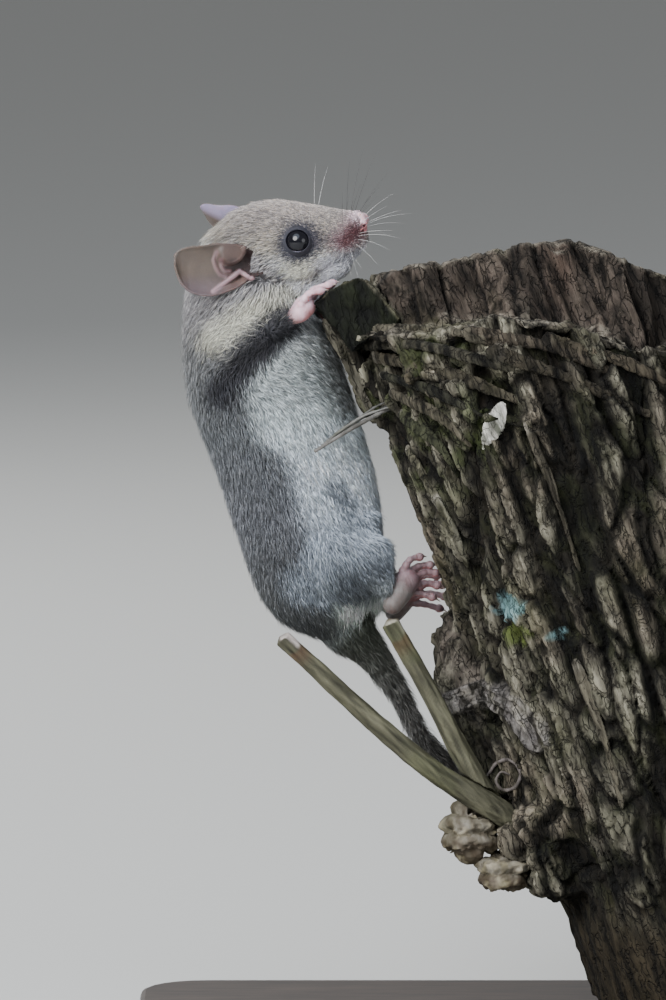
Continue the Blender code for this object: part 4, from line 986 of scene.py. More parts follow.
def scatter_roots(thing, count, seed):
    """Roots spread over a skin by area and plenty: places and normals."""
    spots, normals, area = face_rows(thing)
    weight = area * plenty(spots.mean(axis=1))
    rng = np.random.default_rng(seed)
    steps = np.cumsum(weight)
    draws = (np.arange(count) + rng.random(count)) / count * steps[-1]
    chosen = np.minimum(np.searchsorted(steps, draws), len(steps) - 1)
    share = rng.random((count, 2))
    folded = share.sum(axis=1) > 1.0
    share[folded] = 1.0 - share[folded]
    parts = np.stack([1.0 - share.sum(axis=1), share[:, 0], share[:, 1]], axis=1)[:, :, None]
    roots = (spots[chosen] * parts).sum(axis=1)
    ways = (normals[chosen] * parts).sum(axis=1)
    return roots, ways / np.linalg.norm(ways, axis=1)[:, None]


roots, root_ways = scatter_roots(skin, LOCKS_IN_ALL, 7)
print("roots:", len(roots), "lowest and highest, mm:", np.round(picture(roots).min(0), 1),
      np.round(picture(roots).max(0), 1))

# %% Which way and how long
ARM_WAY = np.array((-0.4, 0.0, -0.92))
THIGH_WAY = np.array((0.42, 0.0, -0.9))
WRIST_RIGHT = (-47.0, 131.8, -7.2)
WRIST_LEFT = (-44.4, 131.0, 12.0)


def lie_of(points, shares, line_ways):
    """The way the hair lies, before it is turned into the skin's surface."""
    right_up = picture(near_side(points))
    right, up = right_up[:, 0], right_up[:, 1]
    border = np.interp(up, [row[0] for row in BELLY_BORDER], [row[1] for row in BELLY_BORDER])
    across = right - border
    ways = line_ways.copy()
    for name in ("arm_right", "arm_left"):
        ways[LINE_NAMES.index(name)] = ARM_WAY
    for name in ("thigh_right", "thigh_left"):
        ways[LINE_NAMES.index(name)] = THIGH_WAY
    for name, palm in (("forearm_right", WRIST_RIGHT), ("forearm_left", WRIST_LEFT)):
        near = 1.0 - ease(3.0, 7.0, np.linalg.norm(points - np.array(at(*palm)), axis=1) / MM)
        ways[LINE_NAMES.index(name)] *= (2.0 * near - 1.0)[:, None]
    pull = 0.2 * ease(-8.0, 0.0, across)
    pull -= 0.8 * ease(121.0, 129.0, up) * (1.0 - ease(-1.5, 1.5, across))
    chest = ease(116.0, 120.0, up) * (1.0 - ease(131.0, 136.0, up)) * ease(-1.0, 1.5, across)
    pull += 1.5 * chest
    pull -= 0.7 * ease(134.0, 138.0, up) * ease(-1.0, 1.5, across)
    ways[LINE_NAMES.index("torso")] += pull[:, None] * np.array(BELLY_WAY)
    nape = 1.0 - ease(-16.0, -9.0, head_places(points)[:, 0])
    ways[0] += nape[:, None] * np.array((0.0, 0.0, -1.6))
    return (ways * shares[:, :, None]).sum(axis=0)


def length_of(points, shares, parts):
    """Length of the hair in millimetres."""
    length = coat_value(shares, 1)
    ahead, _, up = head_places(points).T
    face = 0.45 + 0.5 * (1.0 - ease(4.0, 8.0, ahead)) + 0.5 * (1.0 - ease(-5.0, 2.0, ahead))
    face += 1.6 * (1.0 - ease(-12.0, -6.0, ahead)) + 0.8 * (1.0 - ease(-7.0, -3.0, up))
    around_eye = np.min([np.linalg.norm(points - np.array(c), axis=1) for c in EYE_CENTRES], axis=0)
    face *= 0.45 + 0.55 * ease(2.7, 4.5, around_eye / MM)
    length = length + (face - length) * ease(0.3, 0.8, shares[0])
    for palm in (WRIST_RIGHT, WRIST_LEFT):
        gap = np.linalg.norm(points - np.array(at(*palm)), axis=1) / MM
        length = length + 0.9 * (1.0 - ease(1.5, 4.5, gap))
    tail = LINE_NAMES.index("tail")
    return length * (1.0 + 0.35 * shares[tail] * ease(0.6, 1.0, parts[tail]))


def growth_at(points, normals):
    """Lie, length, and shares at rows of roots."""
    shares, line_ways, parts = ask_lines(points)
    lie = lie_of(points, shares, line_ways)
    lie -= (lie * normals).sum(axis=1)[:, None] * normals
    lie /= np.maximum(np.linalg.norm(lie, axis=1), 1e-6)[:, None]
    return lie, length_of(points, shares, parts), shares


lie, lengths, root_shares = growth_at(roots, root_ways)
print("hair lengths, mm:", round(lengths.min(), 2), "to", round(lengths.max(), 2))

# %% Keep roots clear of the wood
PERCH = ("perch_trunk", "perch_shard", "perch_twig_low", "perch_twig_high")
ROOM_AT_WOOD = 0.3


perch_trees = [search_tree(nodes[node]) for node in PERCH]


def room_ahead(points, ways, reach):
    """How far, in mm and up to reach, the wood is from each point along its way."""
    free = np.full(len(points), reach)
    boxes = [(np.array(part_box(n)[0]) - 0.005, np.array(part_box(n)[1]) + 0.005) for n in PERCH]
    for tree, (low, high) in zip(perch_trees, boxes):
        inside = np.nonzero(((points > low) & (points < high)).all(axis=1))[0]
        for i in inside:
            hit = tree.ray_cast(Vector(points[i]), Vector(ways[i]), reach * MM)
            if hit[0] is not None:
                free[i] = min(free[i], hit[3] / MM)
    return free


out_ways = lie * 0.85 + root_ways * 0.5
out_ways /= np.linalg.norm(out_ways, axis=1)[:, None]
free = room_ahead(roots, out_ways, 4.5)
lengths = np.minimum(lengths, np.maximum(free - ROOM_AT_WOOD, 0.0))


def falls_in_cup(shorter=1.0):
    """Which locks would have their tips in the hollow of an ear."""
    tips = roots + (lie * 0.8 + root_ways * 0.25) * (lengths * shorter * MM)[:, None]
    return in_ear_cup(tips, RIGHT, reach=6.0) | in_ear_cup(tips, LEFT, reach=6.0)


lengths = np.where(falls_in_cup(), lengths * 0.45, lengths)
kept = (lengths > 0.35) & ~falls_in_cup(0.6)
roots, root_ways, lie, lengths = roots[kept], root_ways[kept], lie[kept], lengths[kept]
root_shares = root_shares[:, kept]
print("roots kept clear of the wood:", len(roots))

# %% Unwrap of the skin for the coat
def unwrap_of(thing, faces):
    """Search tree, faces, corners and map places of a reduced copy of a skin, unwrapped."""
    copy = added("unwrap_copy", thing.data.copy())
    work(copy, "DECIMATE", ratio=faces / len(copy.data.polygons))
    bpy.ops.object.mode_set(mode="EDIT")
    bpy.ops.mesh.select_all(action="SELECT")
    bpy.ops.mesh.quads_convert_to_tris()
    bpy.ops.uv.smart_project(angle_limit=math.radians(66.0), island_margin=0.002)
    bpy.ops.object.mode_set(mode="OBJECT")
    mesh = copy.data
    index = np.array([f.vertices[:] for f in mesh.polygons])
    places = np.empty(len(mesh.loops) * 2)
    mesh.uv_layers.active.data.foreach_get("uv", places)
    loops = np.array([f.loop_indices[:] for f in mesh.polygons])
    result = (search_tree(copy), index, corners(copy), places.reshape(-1, 2)[loops])
    bpy.data.objects.remove(copy)
    return result


def map_places(unwrap, points):
    """Places on the unwrap nearest to rows of points."""
    tree, index, spots, places = unwrap
    found = np.array([tree.find_nearest(Vector(p))[2] for p in points])
    a, b, c = (spots[index[found, i]] for i in range(3))
    ab, ac, ap = b - a, c - a, points - a
    d00, d01, d11 = (ab * ab).sum(1), (ab * ac).sum(1), (ac * ac).sum(1)
    d20, d21 = (ap * ab).sum(1), (ap * ac).sum(1)
    base = np.maximum(d00 * d11 - d01 * d01, 1e-30)
    v = np.clip((d11 * d20 - d01 * d21) / base, 0.0, 1.0)
    w = np.clip((d00 * d21 - d01 * d20) / base, 0.0, 1.0)
    parts = np.stack([np.clip(1.0 - v - w, 0.0, 1.0), v, w], axis=1)
    return (places[found] * parts[:, :, None]).sum(axis=1)


skin_unwrap = unwrap_of(skin, 8000)
print("unwrap of the skin:", len(skin_unwrap[1]), "faces")

# %% Slivers from arrays
PATCH = 0.003
LOCK_FACES = ((0, 1, 4, 3), (1, 2, 5, 4), (2, 0, 3, 5), (3, 4, 6), (4, 5, 6), (5, 3, 6), (2, 1, 0))
LOCK_MAP = ((0.0, 0.0), (1.0, 0.0), (0.5, 0.15), (0.1, 0.5), (0.9, 0.5), (0.5, 0.6), (0.5, 1.0))


def lock_corners(base, normal, way, length, width, rise, bend, tip_shift):
    """Seven corners of each sliver: a ring at the root, a ring half way and the tip."""
    side = np.cross(normal, way)
    first = way * np.cos(rise)[:, None] + normal * np.sin(rise)[:, None]
    low = rise * bend
    second = way * np.cos(low)[:, None] + normal * np.sin(low)[:, None]
    middle = base + first * (length * 0.45 * MM)[:, None] + tip_shift * 0.35
    tip = middle + second * (length * 0.55 * MM)[:, None] + tip_shift * 0.65
    half = side * (width * 0.5 * MM)[:, None]
    crest = normal * (width * 0.45 * MM)[:, None]
    sunk = base - normal * 0.00012
    return np.stack([sunk - half, sunk + half, sunk + crest, middle - half * 0.8,
                     middle + half * 0.8, middle + crest * 0.8, tip], axis=1)


def mesh_of_locks(name, spots, colours, places, finish_of):
    """One mesh of many slivers with their colours and map patches."""
    count = len(spots)
    offsets = np.arange(count)[:, None] * 7
    loops = np.concatenate([np.array(face) for face in LOCK_FACES])
    sizes = np.array([len(face) for face in LOCK_FACES])
    mesh = bpy.data.meshes.new(name)
    mesh.vertices.add(count * 7)
    mesh.vertices.foreach_set("co", spots.reshape(-1))
    mesh.loops.add(count * len(loops))
    mesh.loops.foreach_set("vertex_index", (offsets + loops[None, :]).reshape(-1))
    mesh.polygons.add(count * len(sizes))
    starts = np.concatenate([[0], np.cumsum(sizes)[:-1]])
    all_starts = (np.arange(count)[:, None] * len(loops) + starts[None, :]).reshape(-1)
    mesh.polygons.foreach_set("loop_start", all_starts)
    mesh.update(calc_edges=True)
    mesh.validate()
    shape = np.array(LOCK_MAP)[loops] - 0.5
    uv = mesh.uv_layers.new(name="OFBake")
    uv.data.foreach_set("uv", (places[:, None, :] + shape[None, :, :] * PATCH).reshape(-1))
    thing = added(name, mesh)
    paint(thing, colours.reshape(-1, 3))
    return wear(thing, finish_of)


print("a lock has", sum(len(face) - 2 for face in LOCK_FACES), "triangles")

# %% Tufts, tips and ticking
CLUMP_SPACING = 1.1
CLUMP_PULL = 0.45
LOCKS_PER_CLUMP = 14
# Shares of dark and silver hairs where the coat is peppered, and how dark and bright they are
DARK_SHARE, SILVER_SHARE = 0.22, 0.34
DARK_LEVEL, SILVER_LEVEL = 0.36, 1.6
COAT_GAIN = 1.45


def pull_to_clumps(bases, lengths, seed):
    """Shifts that draw the tips of neighbours together, so that hair parts into tufts."""
    rng = np.random.default_rng(seed)
    count = max(8, int(len(bases) / LOCKS_PER_CLUMP))
    chosen = rng.choice(len(bases), count, replace=False)
    tree = KDTree(count)
    for i, j in enumerate(chosen):
        tree.insert(Vector(bases[j]), i)
    tree.balance()
    nearest = chosen[[tree.find(Vector(p))[1] for p in bases]]
    shift = bases[nearest] - bases
    gap = np.linalg.norm(shift, axis=1) / MM
    strength = CLUMP_PULL * (1.0 - ease(CLUMP_SPACING, 2.2 * CLUMP_SPACING, gap))
    return shift * (strength * np.minimum(1.0, lengths / 1.6))[:, None]


def lock_colours(points, shares, rng):
    """Colours of root, middle and tip of each lock, with dark and silver ticking."""
    streaks = points + rng.normal(0.0, 0.0006, points.shape)
    base = COAT_GAIN * coat_colours(streaks)
    tufts = np.array([noise.noise(Vector(p) * 900.0) for p in points])
    pepper = 0.45 + 0.6 * share_of(shares, "thigh_right", "thigh_left", "forearm_right")
    pepper += 0.55 * shares[0]
    pick_one = rng.random(len(points))
    level = 1.0 + 0.16 * rng.standard_normal(len(points)) + 0.55 * tufts
    dark = pick_one < DARK_SHARE * pepper + 0.05
    silver = pick_one > 1.0 - SILVER_SHARE * pepper
    level = np.where(dark, DARK_LEVEL, np.where(silver, SILVER_LEVEL, level))
    level = np.clip(level, 0.3, 1.8)[:, None]
    golden = np.array([0.05, 0.0, -0.1]) + np.outer(shares[0], (0.08, 0.01, -0.16))
    warm = np.where(silver[:, None], 1.0 + golden, 1.0)
    root, middle, tip = base * 0.5, base * (0.5 + 0.5 * level), base * level * 1.15 * warm
    return np.stack([root, root, root, middle, middle, middle, tip], axis=1)


def make_coat(name, chosen, seed):
    """The locks of one region as one piece."""
    rng = np.random.default_rng(seed)
    base, normal, way = roots[chosen], root_ways[chosen], lie[chosen]
    length = lengths[chosen] * (0.75 + 0.5 * rng.random(len(base)))
    shares = root_shares[:, chosen]
    unruly = 0.2 + 0.5 * share_of(shares, "forearm_right", "forearm_left")
    turn = unruly * rng.standard_normal(len(base))
    way = way * np.cos(turn)[:, None] + np.cross(normal, way) * np.sin(turn)[:, None]
    face = ease(0.3, 0.8, shares[0])
    width = (0.155 - 0.045 * face) * (0.8 + 0.4 * rng.random(len(base)))
    rise = np.radians(30.0 + 8.0 * rng.standard_normal(len(base)))
    shift = pull_to_clumps(base, length, seed + 1)
    spots = lock_corners(base, normal, way, length, width, rise, 0.3, shift)
    seen = base + way * (length * 0.5 * MM)[:, None]
    return mesh_of_locks(name, spots, lock_colours(seen, shares, rng),
                         map_places(skin_unwrap, base), coat_finish)


up_of_roots = picture(roots)[:, 1]
is_head = root_shares[0] > 0.5
ahead_of_roots = head_places(roots)[:, 0]
is_tail = (root_shares[LINE_NAMES.index("tail")] > 0.5) & ~is_head
is_body = ~is_head & ~is_tail
# Each region: whose locks, measured how, from (not included) and up to
REGIONS = {
    "coat_muzzle": (is_head, ahead_of_roots, 3.0, np.inf),
    "coat_brow": (is_head, ahead_of_roots, -3.5, 3.0),
    "coat_nape": (is_head, ahead_of_roots, -np.inf, -3.5),
    "coat_shoulder": (is_body, up_of_roots, 126.0, np.inf),
    "coat_chest": (is_body, up_of_roots, 114.0, 126.0),
    "coat_belly": (is_body, up_of_roots, 101.0, 114.0),
    "coat_loin": (is_body, up_of_roots, 90.0, 101.0),
    "coat_rump": (is_body, up_of_roots, -np.inf, 90.0),
    "coat_tail": (is_tail, up_of_roots, -np.inf, np.inf),
}
coat = []
for number, (name, (whose, measure, low, high)) in enumerate(REGIONS.items()):
    chosen = np.nonzero(whose & (measure > low) & (measure <= high))[0]
    coat.append(make_coat(name, chosen, 20 + number))
    print(name, len(chosen), "locks,", len(chosen) * 10, "triangles")

# %% Colour the skin and seat skin and coat
paint(skin, coat_colours(corners(skin)))
seat(wear(skin, skin_finish), "fur", "head", *FLESH)
for piece in coat:
    seat(piece, "fur")
print("skin and coat seated")

# %% [markdown]
# ## Eyes and lids
# A nocturnal climber has large, black, wet eyes that stand out of the head. Each is a ball
# with a glossy finish, and a narrow rim of bare skin lies on it as the edge of the lids.

# %% Eyes
EYE_FLATNESS = 0.97

eye_finish = two_tints("wet_black_eye", 0.05, 500.0, (0.003, 0.003, 0.005), (0.008, 0.008, 0.011),
                       marked=False, Specular_IOR_Level=0.38)[0]


def make_eye(name, centre, out, node):
    """A ball, a little flat towards the front, turned outwards."""
    eye = made(bpy.ops.mesh.primitive_uv_sphere_add, segments=48, ring_count=32,
               radius=EYE_RADIUS * MM)
    eye.name = name
    edit_all(eye, bpy.ops.transform.resize, value=(1.0, 1.0, EYE_FLATNESS))
    eye.rotation_euler = out.to_track_quat("Z", "Y").to_euler()
    eye.location = centre
    return seat(wear(settle(eye), eye_finish), "eye", node)


eyes = [make_eye("eye_ball_" + word, centre, out, "eye_" + word)
        for word, centre, out in zip(("right", "left"), EYE_CENTRES, EYE_WAYS)]
print("eyes:", [len(eye.data.polygons) for eye in eyes], "faces")

# %% Lids
LID_ROUND = 0.2
RING_ROUND = 0.12
LID_TONE, LOW_LID_TONE = (48, 46, 56), (214, 204, 228)

lid_finish, lid_shader, lid_tree = two_tints("bare_lid", 0.35, 1800.0, (0.8,) * 3, (1.15,) * 3,
                                             Subsurface_Weight=0.1, Subsurface_Scale=0.0006)
bump(lid_tree, lid_shader, noise_of(lid_tree, 2400.0), 0.4, 0.08)


def make_lid(name, centre, out):
    """A ring bent onto the ball of the eye, wider than high."""
    lid = made(bpy.ops.mesh.primitive_torus_add, major_segments=72, minor_segments=12,
               major_radius=1.0, minor_radius=RING_ROUND)
    lid.name = name
    rows = corners(lid)
    turn = np.arctan2(rows[:, 1], rows[:, 0])
    ring = np.hypot(rows[:, 0], rows[:, 1]) - 1.0
    lean = np.hypot(LID_HALF_LONG * np.cos(turn), LID_HALF_HIGH * np.sin(turn))
    lean += ring / RING_ROUND * LID_ROUND / EYE_RADIUS
    reach = (EYE_RADIUS + 0.02 + rows[:, 2] / RING_ROUND * LID_ROUND * 0.8) * MM
    ahead, above = eye_axes(out)
    ways = np.outer(np.sin(lean) * np.cos(turn), ahead)
    ways += np.outer(np.sin(lean) * np.sin(turn), above)
    ways += np.outer(np.cos(lean), out)
    place_corners(lid, np.array(centre) + ways * reach[:, None])
    low = ease(-0.1, 0.9, -np.sin(turn))
    paint(lid, mix_in(one_tone(LID_TONE, rows), low, tone(*LOW_LID_TONE)))
    edit_all(lid, bpy.ops.mesh.normals_make_consistent, inside=False)
    return seat(wear(lid, lid_finish), "fur")


lids = [make_lid("lid_" + word, centre, out)
        for word, centre, out in zip(("right", "left"), EYE_CENTRES, EYE_WAYS)]
print("lids:", [len(lid.data.polygons) for lid in lids], "faces")

# %% [markdown]
# ## Ears
# Each ear is a thin cup of nearly bare skin. A flat grid is bent into the cup row by row, with the
# little flap before the opening raised in it; it gets its thickness and the ridges are pressed on
# as clay.

# %% The sheet of an ear
def make_ear(name, side, node):
    """A grid bent into the cup and thickened, with its ridges pressed on as clay."""
    ear = made(bpy.ops.mesh.primitive_grid_add, x_subdivisions=EAR_LONG_STEPS,
               y_subdivisions=EAR_CROSS_STEPS, size=2.0)
    ear.name = name
    curve = along([(row[0],) for row in EAR], 200)[:, 0]
    for vertex in ear.data.vertices:
        share = (vertex.co.x + 1.0) / 2.0
        towards = float(np.interp(1.0 - (1.0 - share) ** 1.35, np.linspace(0, 1, 200), curve))
        vertex.co = ear_place(side, towards, vertex.co.y)
    edit_all(ear, bpy.ops.mesh.remove_doubles, threshold=0.00002)
    edit_all(ear, bpy.ops.mesh.normals_make_consistent, inside=False)
    work(ear, "SOLIDIFY", thickness=EAR_THICKNESS * MM, offset=0.0)
    bpy.ops.object.mode_set(mode="EDIT")
    for ridge in EAR_RIDGES:
        for towards, across, lift, radius in along(ridge, 26):
            low, high, _ = ear_row(towards)
            share = 2.0 * (across - low) / (high - low) - 1.0
            spot = ear_place(side, towards, float(np.clip(share, -1.0, 1.0)), lift)
            bpy.ops.mesh.primitive_ico_sphere_add(subdivisions=2, radius=radius * MM, location=spot)
    bpy.ops.object.mode_set(mode="OBJECT")
    work(ear, "REMESH", mode="VOXEL", voxel_size=0.15 * MM)
    work(ear, "SMOOTH", factor=0.5, iterations=3)
    return seat(wear(ear, ear_finish), "ear_skin", node)


ear_finish, ear_shader, ear_tree = two_tints(
    "ear_skin", 0.55, 260.0, (0.75, 0.75, 0.78), (1.12, 1.08, 1.05), 4.0,
    Subsurface_Weight=0.35, Subsurface_Scale=0.0015, Subsurface_Radius=(0.7, 0.4, 0.33))
bump(ear_tree, ear_shader, noise_of(ear_tree, 1700.0, 4.0), 0.35, 0.12)


def ear_colours(ear, side):
    """Taupe skin, redder in the cup, paler at the rim, lavender grey outside; painted shade in the
    hole.
    """
    rows = corners(ear)
    towards, across, _ = ear_local(rows, side)
    inner = outward(ear) @ np.array(ear_ways(side)[2])
    colours = one_tone((91, 81, 73), rows)
    colours = mix_in(colours, 0.45 * (1.0 - ease(-5.5, -2.0, across)), tone(112, 98, 108))
    colours = mix_in(colours, 0.8 * (1.0 - ease(3.0, 7.5, towards)), tone(92, 73, 68))
    back = tone(128, 121, 140) if side == RIGHT else tone(134, 126, 152)
    colours = mix_in(colours, 1.0 - ease(-0.6, 0.2, inner), back)
    # Painted shade: the lower part of the far ear's back is darkened brown, as it looks in its own
    # shadow with light through the thin skin.
    if side == LEFT:
        shade = (1.0 - ease(-0.8, 1.4, across)) * (1.0 - ease(-0.6, 0.2, inner))
        colours = mix_in(colours, 0.95 * shade, tone(82, 68, 54))
    # Painted shade: the hole of the ear and the sheet at its root are darkened nearly to black.
    hollow = 1.0 - ease(0.6, 1.3, np.hypot((towards - 2.2) / 2.6, (across + 1.1) / 1.3))
    hollow = np.maximum(hollow, 1.0 - ease(0.2, 1.1, towards))
    colours = mix_in(colours, 0.9 * hollow * ease(0.0, 0.5, inner), tone(40, 25, 26))
    for ridge, shade in zip(EAR_RIDGES, (tone(168, 140, 148), tone(128, 108, 102),
                                         tone(134, 108, 110), tone(130, 104, 106))):
        gap = gap_to_line(np.stack([towards, across], axis=1), [row[:2] for row in ridge])
        colours = mix_in(colours, 0.6 * (1.0 - ease(0.2, 0.6, gap)) * ease(0.0, 0.5, inner), shade)
    return colours


ears = []
for word, side in (("right", RIGHT), ("left", LEFT)):
    ear = make_ear("ear_cup_" + word, side, "ear_" + word)
    paint(ear, ear_colours(ear, side))
    ears.append(ear)
print("ears:", [len(ear.data.polygons) for ear in ears], "faces")

# %% [markdown]
# ## Nose
# The tip of the nose is bare, pink and damp, with a groove down its middle and a comma-shaped
# nostril on each side. It is pressed from small balls, and the nostrils are cut into it.

# %% Bare nose with nostrils
NOSE_BALLS = (((10.7, 0.0, 3.2), (1.25, 1.45, 1.15)), ((11.15, 0.72, 2.7), (1.0, 0.95, 1.25)),
              ((10.7, 1.35, 2.1), (0.8, 0.6, 0.85)), ((11.2, 0.35, 1.2), (0.6, 0.45, 0.9)))
NOSTRIL = ((11.4, 1.3, 2.35), (0.7, 0.34, 0.4))
NOSTRIL_SLIT = ((10.8, 1.85, 2.1), (0.6, 0.3, 0.18))
NOSE_TONES = ((0.5, (186, 122, 126)), (2.0, (188, 128, 132)), (3.4, (214, 188, 194)))

nose_finish, nose_shader, nose_tree = two_tints(
    "damp_nose", 0.38, 900.0, (0.82, 0.74, 0.76), (1.1, 1.05, 1.05),
    Subsurface_Weight=0.25, Subsurface_Scale=0.0008)
bump(nose_tree, nose_shader, noise_of(nose_tree, 4200.0, 2.0), 0.5, 0.06)


def make_nose():
    """Balls pressed together on both sides of the tip, with the nostrils cut in."""
    turn = HEAD_TURN.to_euler()
    balls, cuts = [], []
    for (ahead, right, up), half in NOSE_BALLS:
        for side in (RIGHT, LEFT) if right else (RIGHT,):
            balls.append((in_head(ahead, right * side, up), half, turn))
    nose = clay("nose_pad", balls, 0.11, 3)
    for (ahead, right, up), half in (NOSTRIL, NOSTRIL_SLIT):
        for side in (RIGHT, LEFT):
            cuts.append(ball_tool(in_head(ahead, right * side, up), half, HEAD_WAYS))
    cut_out(nose, cuts)
    work(nose, "REMESH", mode="VOXEL", voxel_size=0.1 * MM)
    work(nose, "SMOOTH", factor=0.5, iterations=2)
    ahead, side, up = head_places(corners(nose)).T
    colours = blend_rows(NOSE_TONES, up)
    from_hole = np.hypot((ahead - 10.9) / 1.3, up - 2.3) + np.maximum(0.0, 1.0 - np.abs(side))
    # Painted shade: the insides of the nostrils are darkened.
    painted_nostril_shade = (1.0 - ease(0.5, 1.0, from_hole)) * (outward(nose) @ np.array(NOSE_WAY) < 0.4)
    paint(nose, mix_in(colours, 0.8 * painted_nostril_shade, tone(70, 34, 38)))
    return seat(wear(nose, nose_finish), "paw_skin")


nose_pad = make_nose()
print("nose:", len(nose_pad.data.polygons), "faces")

# %% [markdown]
# ## Whiskers
# Whiskers are the stiff long hairs of the lips, brows and cheeks. Each is drawn as a curve
# that tapers to its tip, given a round section, and turned into a closed mesh.

# %% Whiskers and long cheek hairs
WHISKER_ROOT = 0.045
FINE_ROOT = 0.03
HAIR_STEPS = 12
HAIR_TAPER = 0.88
# Each whisker: root and tip in the head (ahead, right, up) and how far its middle bows up
DARK_WHISKERS = (
    ((8.6, 2.6, 1.6), (13.5, 7.5, 13.0), 0.6), ((8.0, 2.9, 1.2), (10.5, 10.5, 12.5), 0.8),
    ((9.2, 2.4, 1.9), (15.5, 5.5, 9.5), 0.5), ((7.4, 3.1, 0.9), (7.0, 13.5, 9.0), 0.9),
    ((8.3, 2.9, 0.6), (12.5, 12.5, 4.5), 0.7), ((7.2, 3.2, 0.2), (6.0, 15.0, 2.5), 0.9))
WHITE_WHISKERS = (
    ((10.2, 1.9, 1.0), (17.5, 5.0, 2.6), 0.3), ((9.8, 2.1, 0.5), (19.0, 6.0, 1.4), 0.7),
    ((9.5, 2.2, 0.1), (17.0, 6.5, -0.6), 0.6), ((9.2, 2.3, -0.3), (14.5, 7.0, -3.0), 0.5),
    ((8.6, 2.5, -0.5), (11.0, 8.5, -5.0), 0.6), ((8.0, 2.7, -0.3), (8.0, 11.0, -4.5), 0.7),
    ((9.9, 1.6, 1.8), (16.5, 3.0, 6.5), 0.4), ((7.4, 2.9, -0.8), (4.6, 9.0, -7.0), 0.8),
    ((8.4, 1.2, -3.0), (10.6, 3.0, -5.2), 0.2), ((7.6, 1.3, -3.8), (8.8, 3.6, -6.6), 0.2))
CHEEK_HAIRS = (
    ((-2.6, 7.0, -5.2), (-6.6, 8.6, -8.8), 0.3), ((0.6, 5.9, -5.0), (0.2, 7.4, -8.4), -0.4),
    ((1.4, 5.7, -5.1), (2.2, 7.2, -8.8), -0.5), ((3.4, 5.0, -5.0), (3.0, 6.6, -8.6), -0.5),
    ((4.6, 4.5, -4.6), (4.8, 6.0, -8.0), -0.4), ((5.8, 3.9, -4.2), (6.4, 5.4, -7.2), -0.3),
    ((2.4, 4.6, 4.4), (4.0, 8.5, 10.0), 0.4), ((1.6, 4.8, 4.6), (1.6, 9.5, 10.5), 0.4))


def drawn(name, lines, radius, resolution):
    """Closed round bars as one mesh; a line's rows are a place in metres and its thickness."""
    curve = bpy.data.curves.new(name, "CURVE")
    curve.dimensions = "3D"
    curve.bevel_depth = radius * MM
    curve.bevel_resolution = resolution
    curve.use_fill_caps = True
    for line in lines:
        spline = curve.splines.new("POLY")
        spline.points.add(len(line) - 1)
        for point, (spot, thickness) in zip(spline.points, line):
            point.co = (*spot, 1.0)
            point.radius = thickness
    pick(added(name, curve))
    bpy.ops.object.convert(target="MESH")
    return bpy.context.object


def hair_line(side, start, end, bow):
    """A hair that bows up in its middle and tapers to its tip."""
    line = []
    for t in np.arange(HAIR_STEPS + 1) / HAIR_STEPS:
        spot = [a + (b - a) * t for a, b in zip(start, end)]
        up = spot[2] + 4.0 * bow * t * (1.0 - t)
        line.append((in_head(spot[0], spot[1] * side, up), 1.0 - HAIR_TAPER * t))
    return line


def draw_hairs(name, hairs, root_radius, material):
    """Tapering hairs on both sides of the head as one mesh."""
    lines = [hair_line(side, *hair) for side in (RIGHT, LEFT) for hair in hairs]
    return seat(wear(drawn(name, lines, root_radius, 1), material), "fur")


def hair_finish(name, root, tip):
    """A plain finish between the tints of root and tip."""
    return two_tints(name, 0.4, 300.0, root, tip, marked=False, stops=(0.35, 0.65))[0]


dark_hair = hair_finish("dark_whisker", (0.012, 0.011, 0.012), (0.05, 0.045, 0.045))
white_hair = hair_finish("white_whisker", (0.62, 0.6, 0.58), (0.8, 0.79, 0.77))
whiskers = [draw_hairs("whiskers_dark", DARK_WHISKERS, WHISKER_ROOT, dark_hair),
            draw_hairs("whiskers_white", WHITE_WHISKERS, FINE_ROOT, white_hair),
            draw_hairs("cheek_hairs", CHEEK_HAIRS, FINE_ROOT, white_hair)]
print("whiskers:", [len(w.data.polygons) for w in whiskers], "faces")

# %% [markdown]
# ## Paws
# Hands and feet are bare, pink and long-fingered. Every finger is a string of small balls with
# a pad under its tip and fuller joints, and a voxel remesh finer than the skin's fuses them.

# %% Hands and feet
HAND_RIGHT = ((-47.0, 131.8, -7.2, 1.2), (-45.5, 132.7, -7.3, 1.75), (-44.5, 133.9, -6.9, 2.0))
FINGERS_RIGHT = (((-45.0, 134.2, -8.2), (-43.8, 136.1, -9.0), (-41.4, 136.8, -9.4)),
                 ((-44.5, 134.8, -7.4), (-42.8, 136.9, -7.6), (-39.9, 137.8, -7.7)),
                 ((-44.0, 134.9, -6.4), (-42.0, 137.0, -6.0), (-39.3, 138.2, -5.8)),
                 ((-44.0, 134.6, -5.4), (-42.2, 136.6, -4.4), (-39.9, 137.8, -3.8)))
HAND_LEFT = ((-44.4, 131.0, 12.0, 1.6), (-43.0, 132.4, 11.2, 2.0), (-42.1, 133.6, 10.4, 2.1))
FINGERS_LEFT = (((-42.5, 133.9, 11.9), (-41.2, 135.6, 12.4), (-38.9, 136.4, 12.8)),
                ((-42.0, 134.5, 11.0), (-40.4, 136.3, 10.9), (-37.8, 137.1, 10.9)),
                ((-41.6, 134.5, 10.0), (-39.9, 136.3, 9.4), (-37.3, 137.1, 9.1)),
                ((-41.6, 134.2, 9.0), (-40.1, 135.9, 7.8), (-37.8, 136.7, 7.1)))
FOOT_RIGHT = ((-28.7, 80.6, -7.8, 1.8), (-27.4, 82.6, -6.8, 2.1), (-26.2, 84.8, -5.2, 2.3))
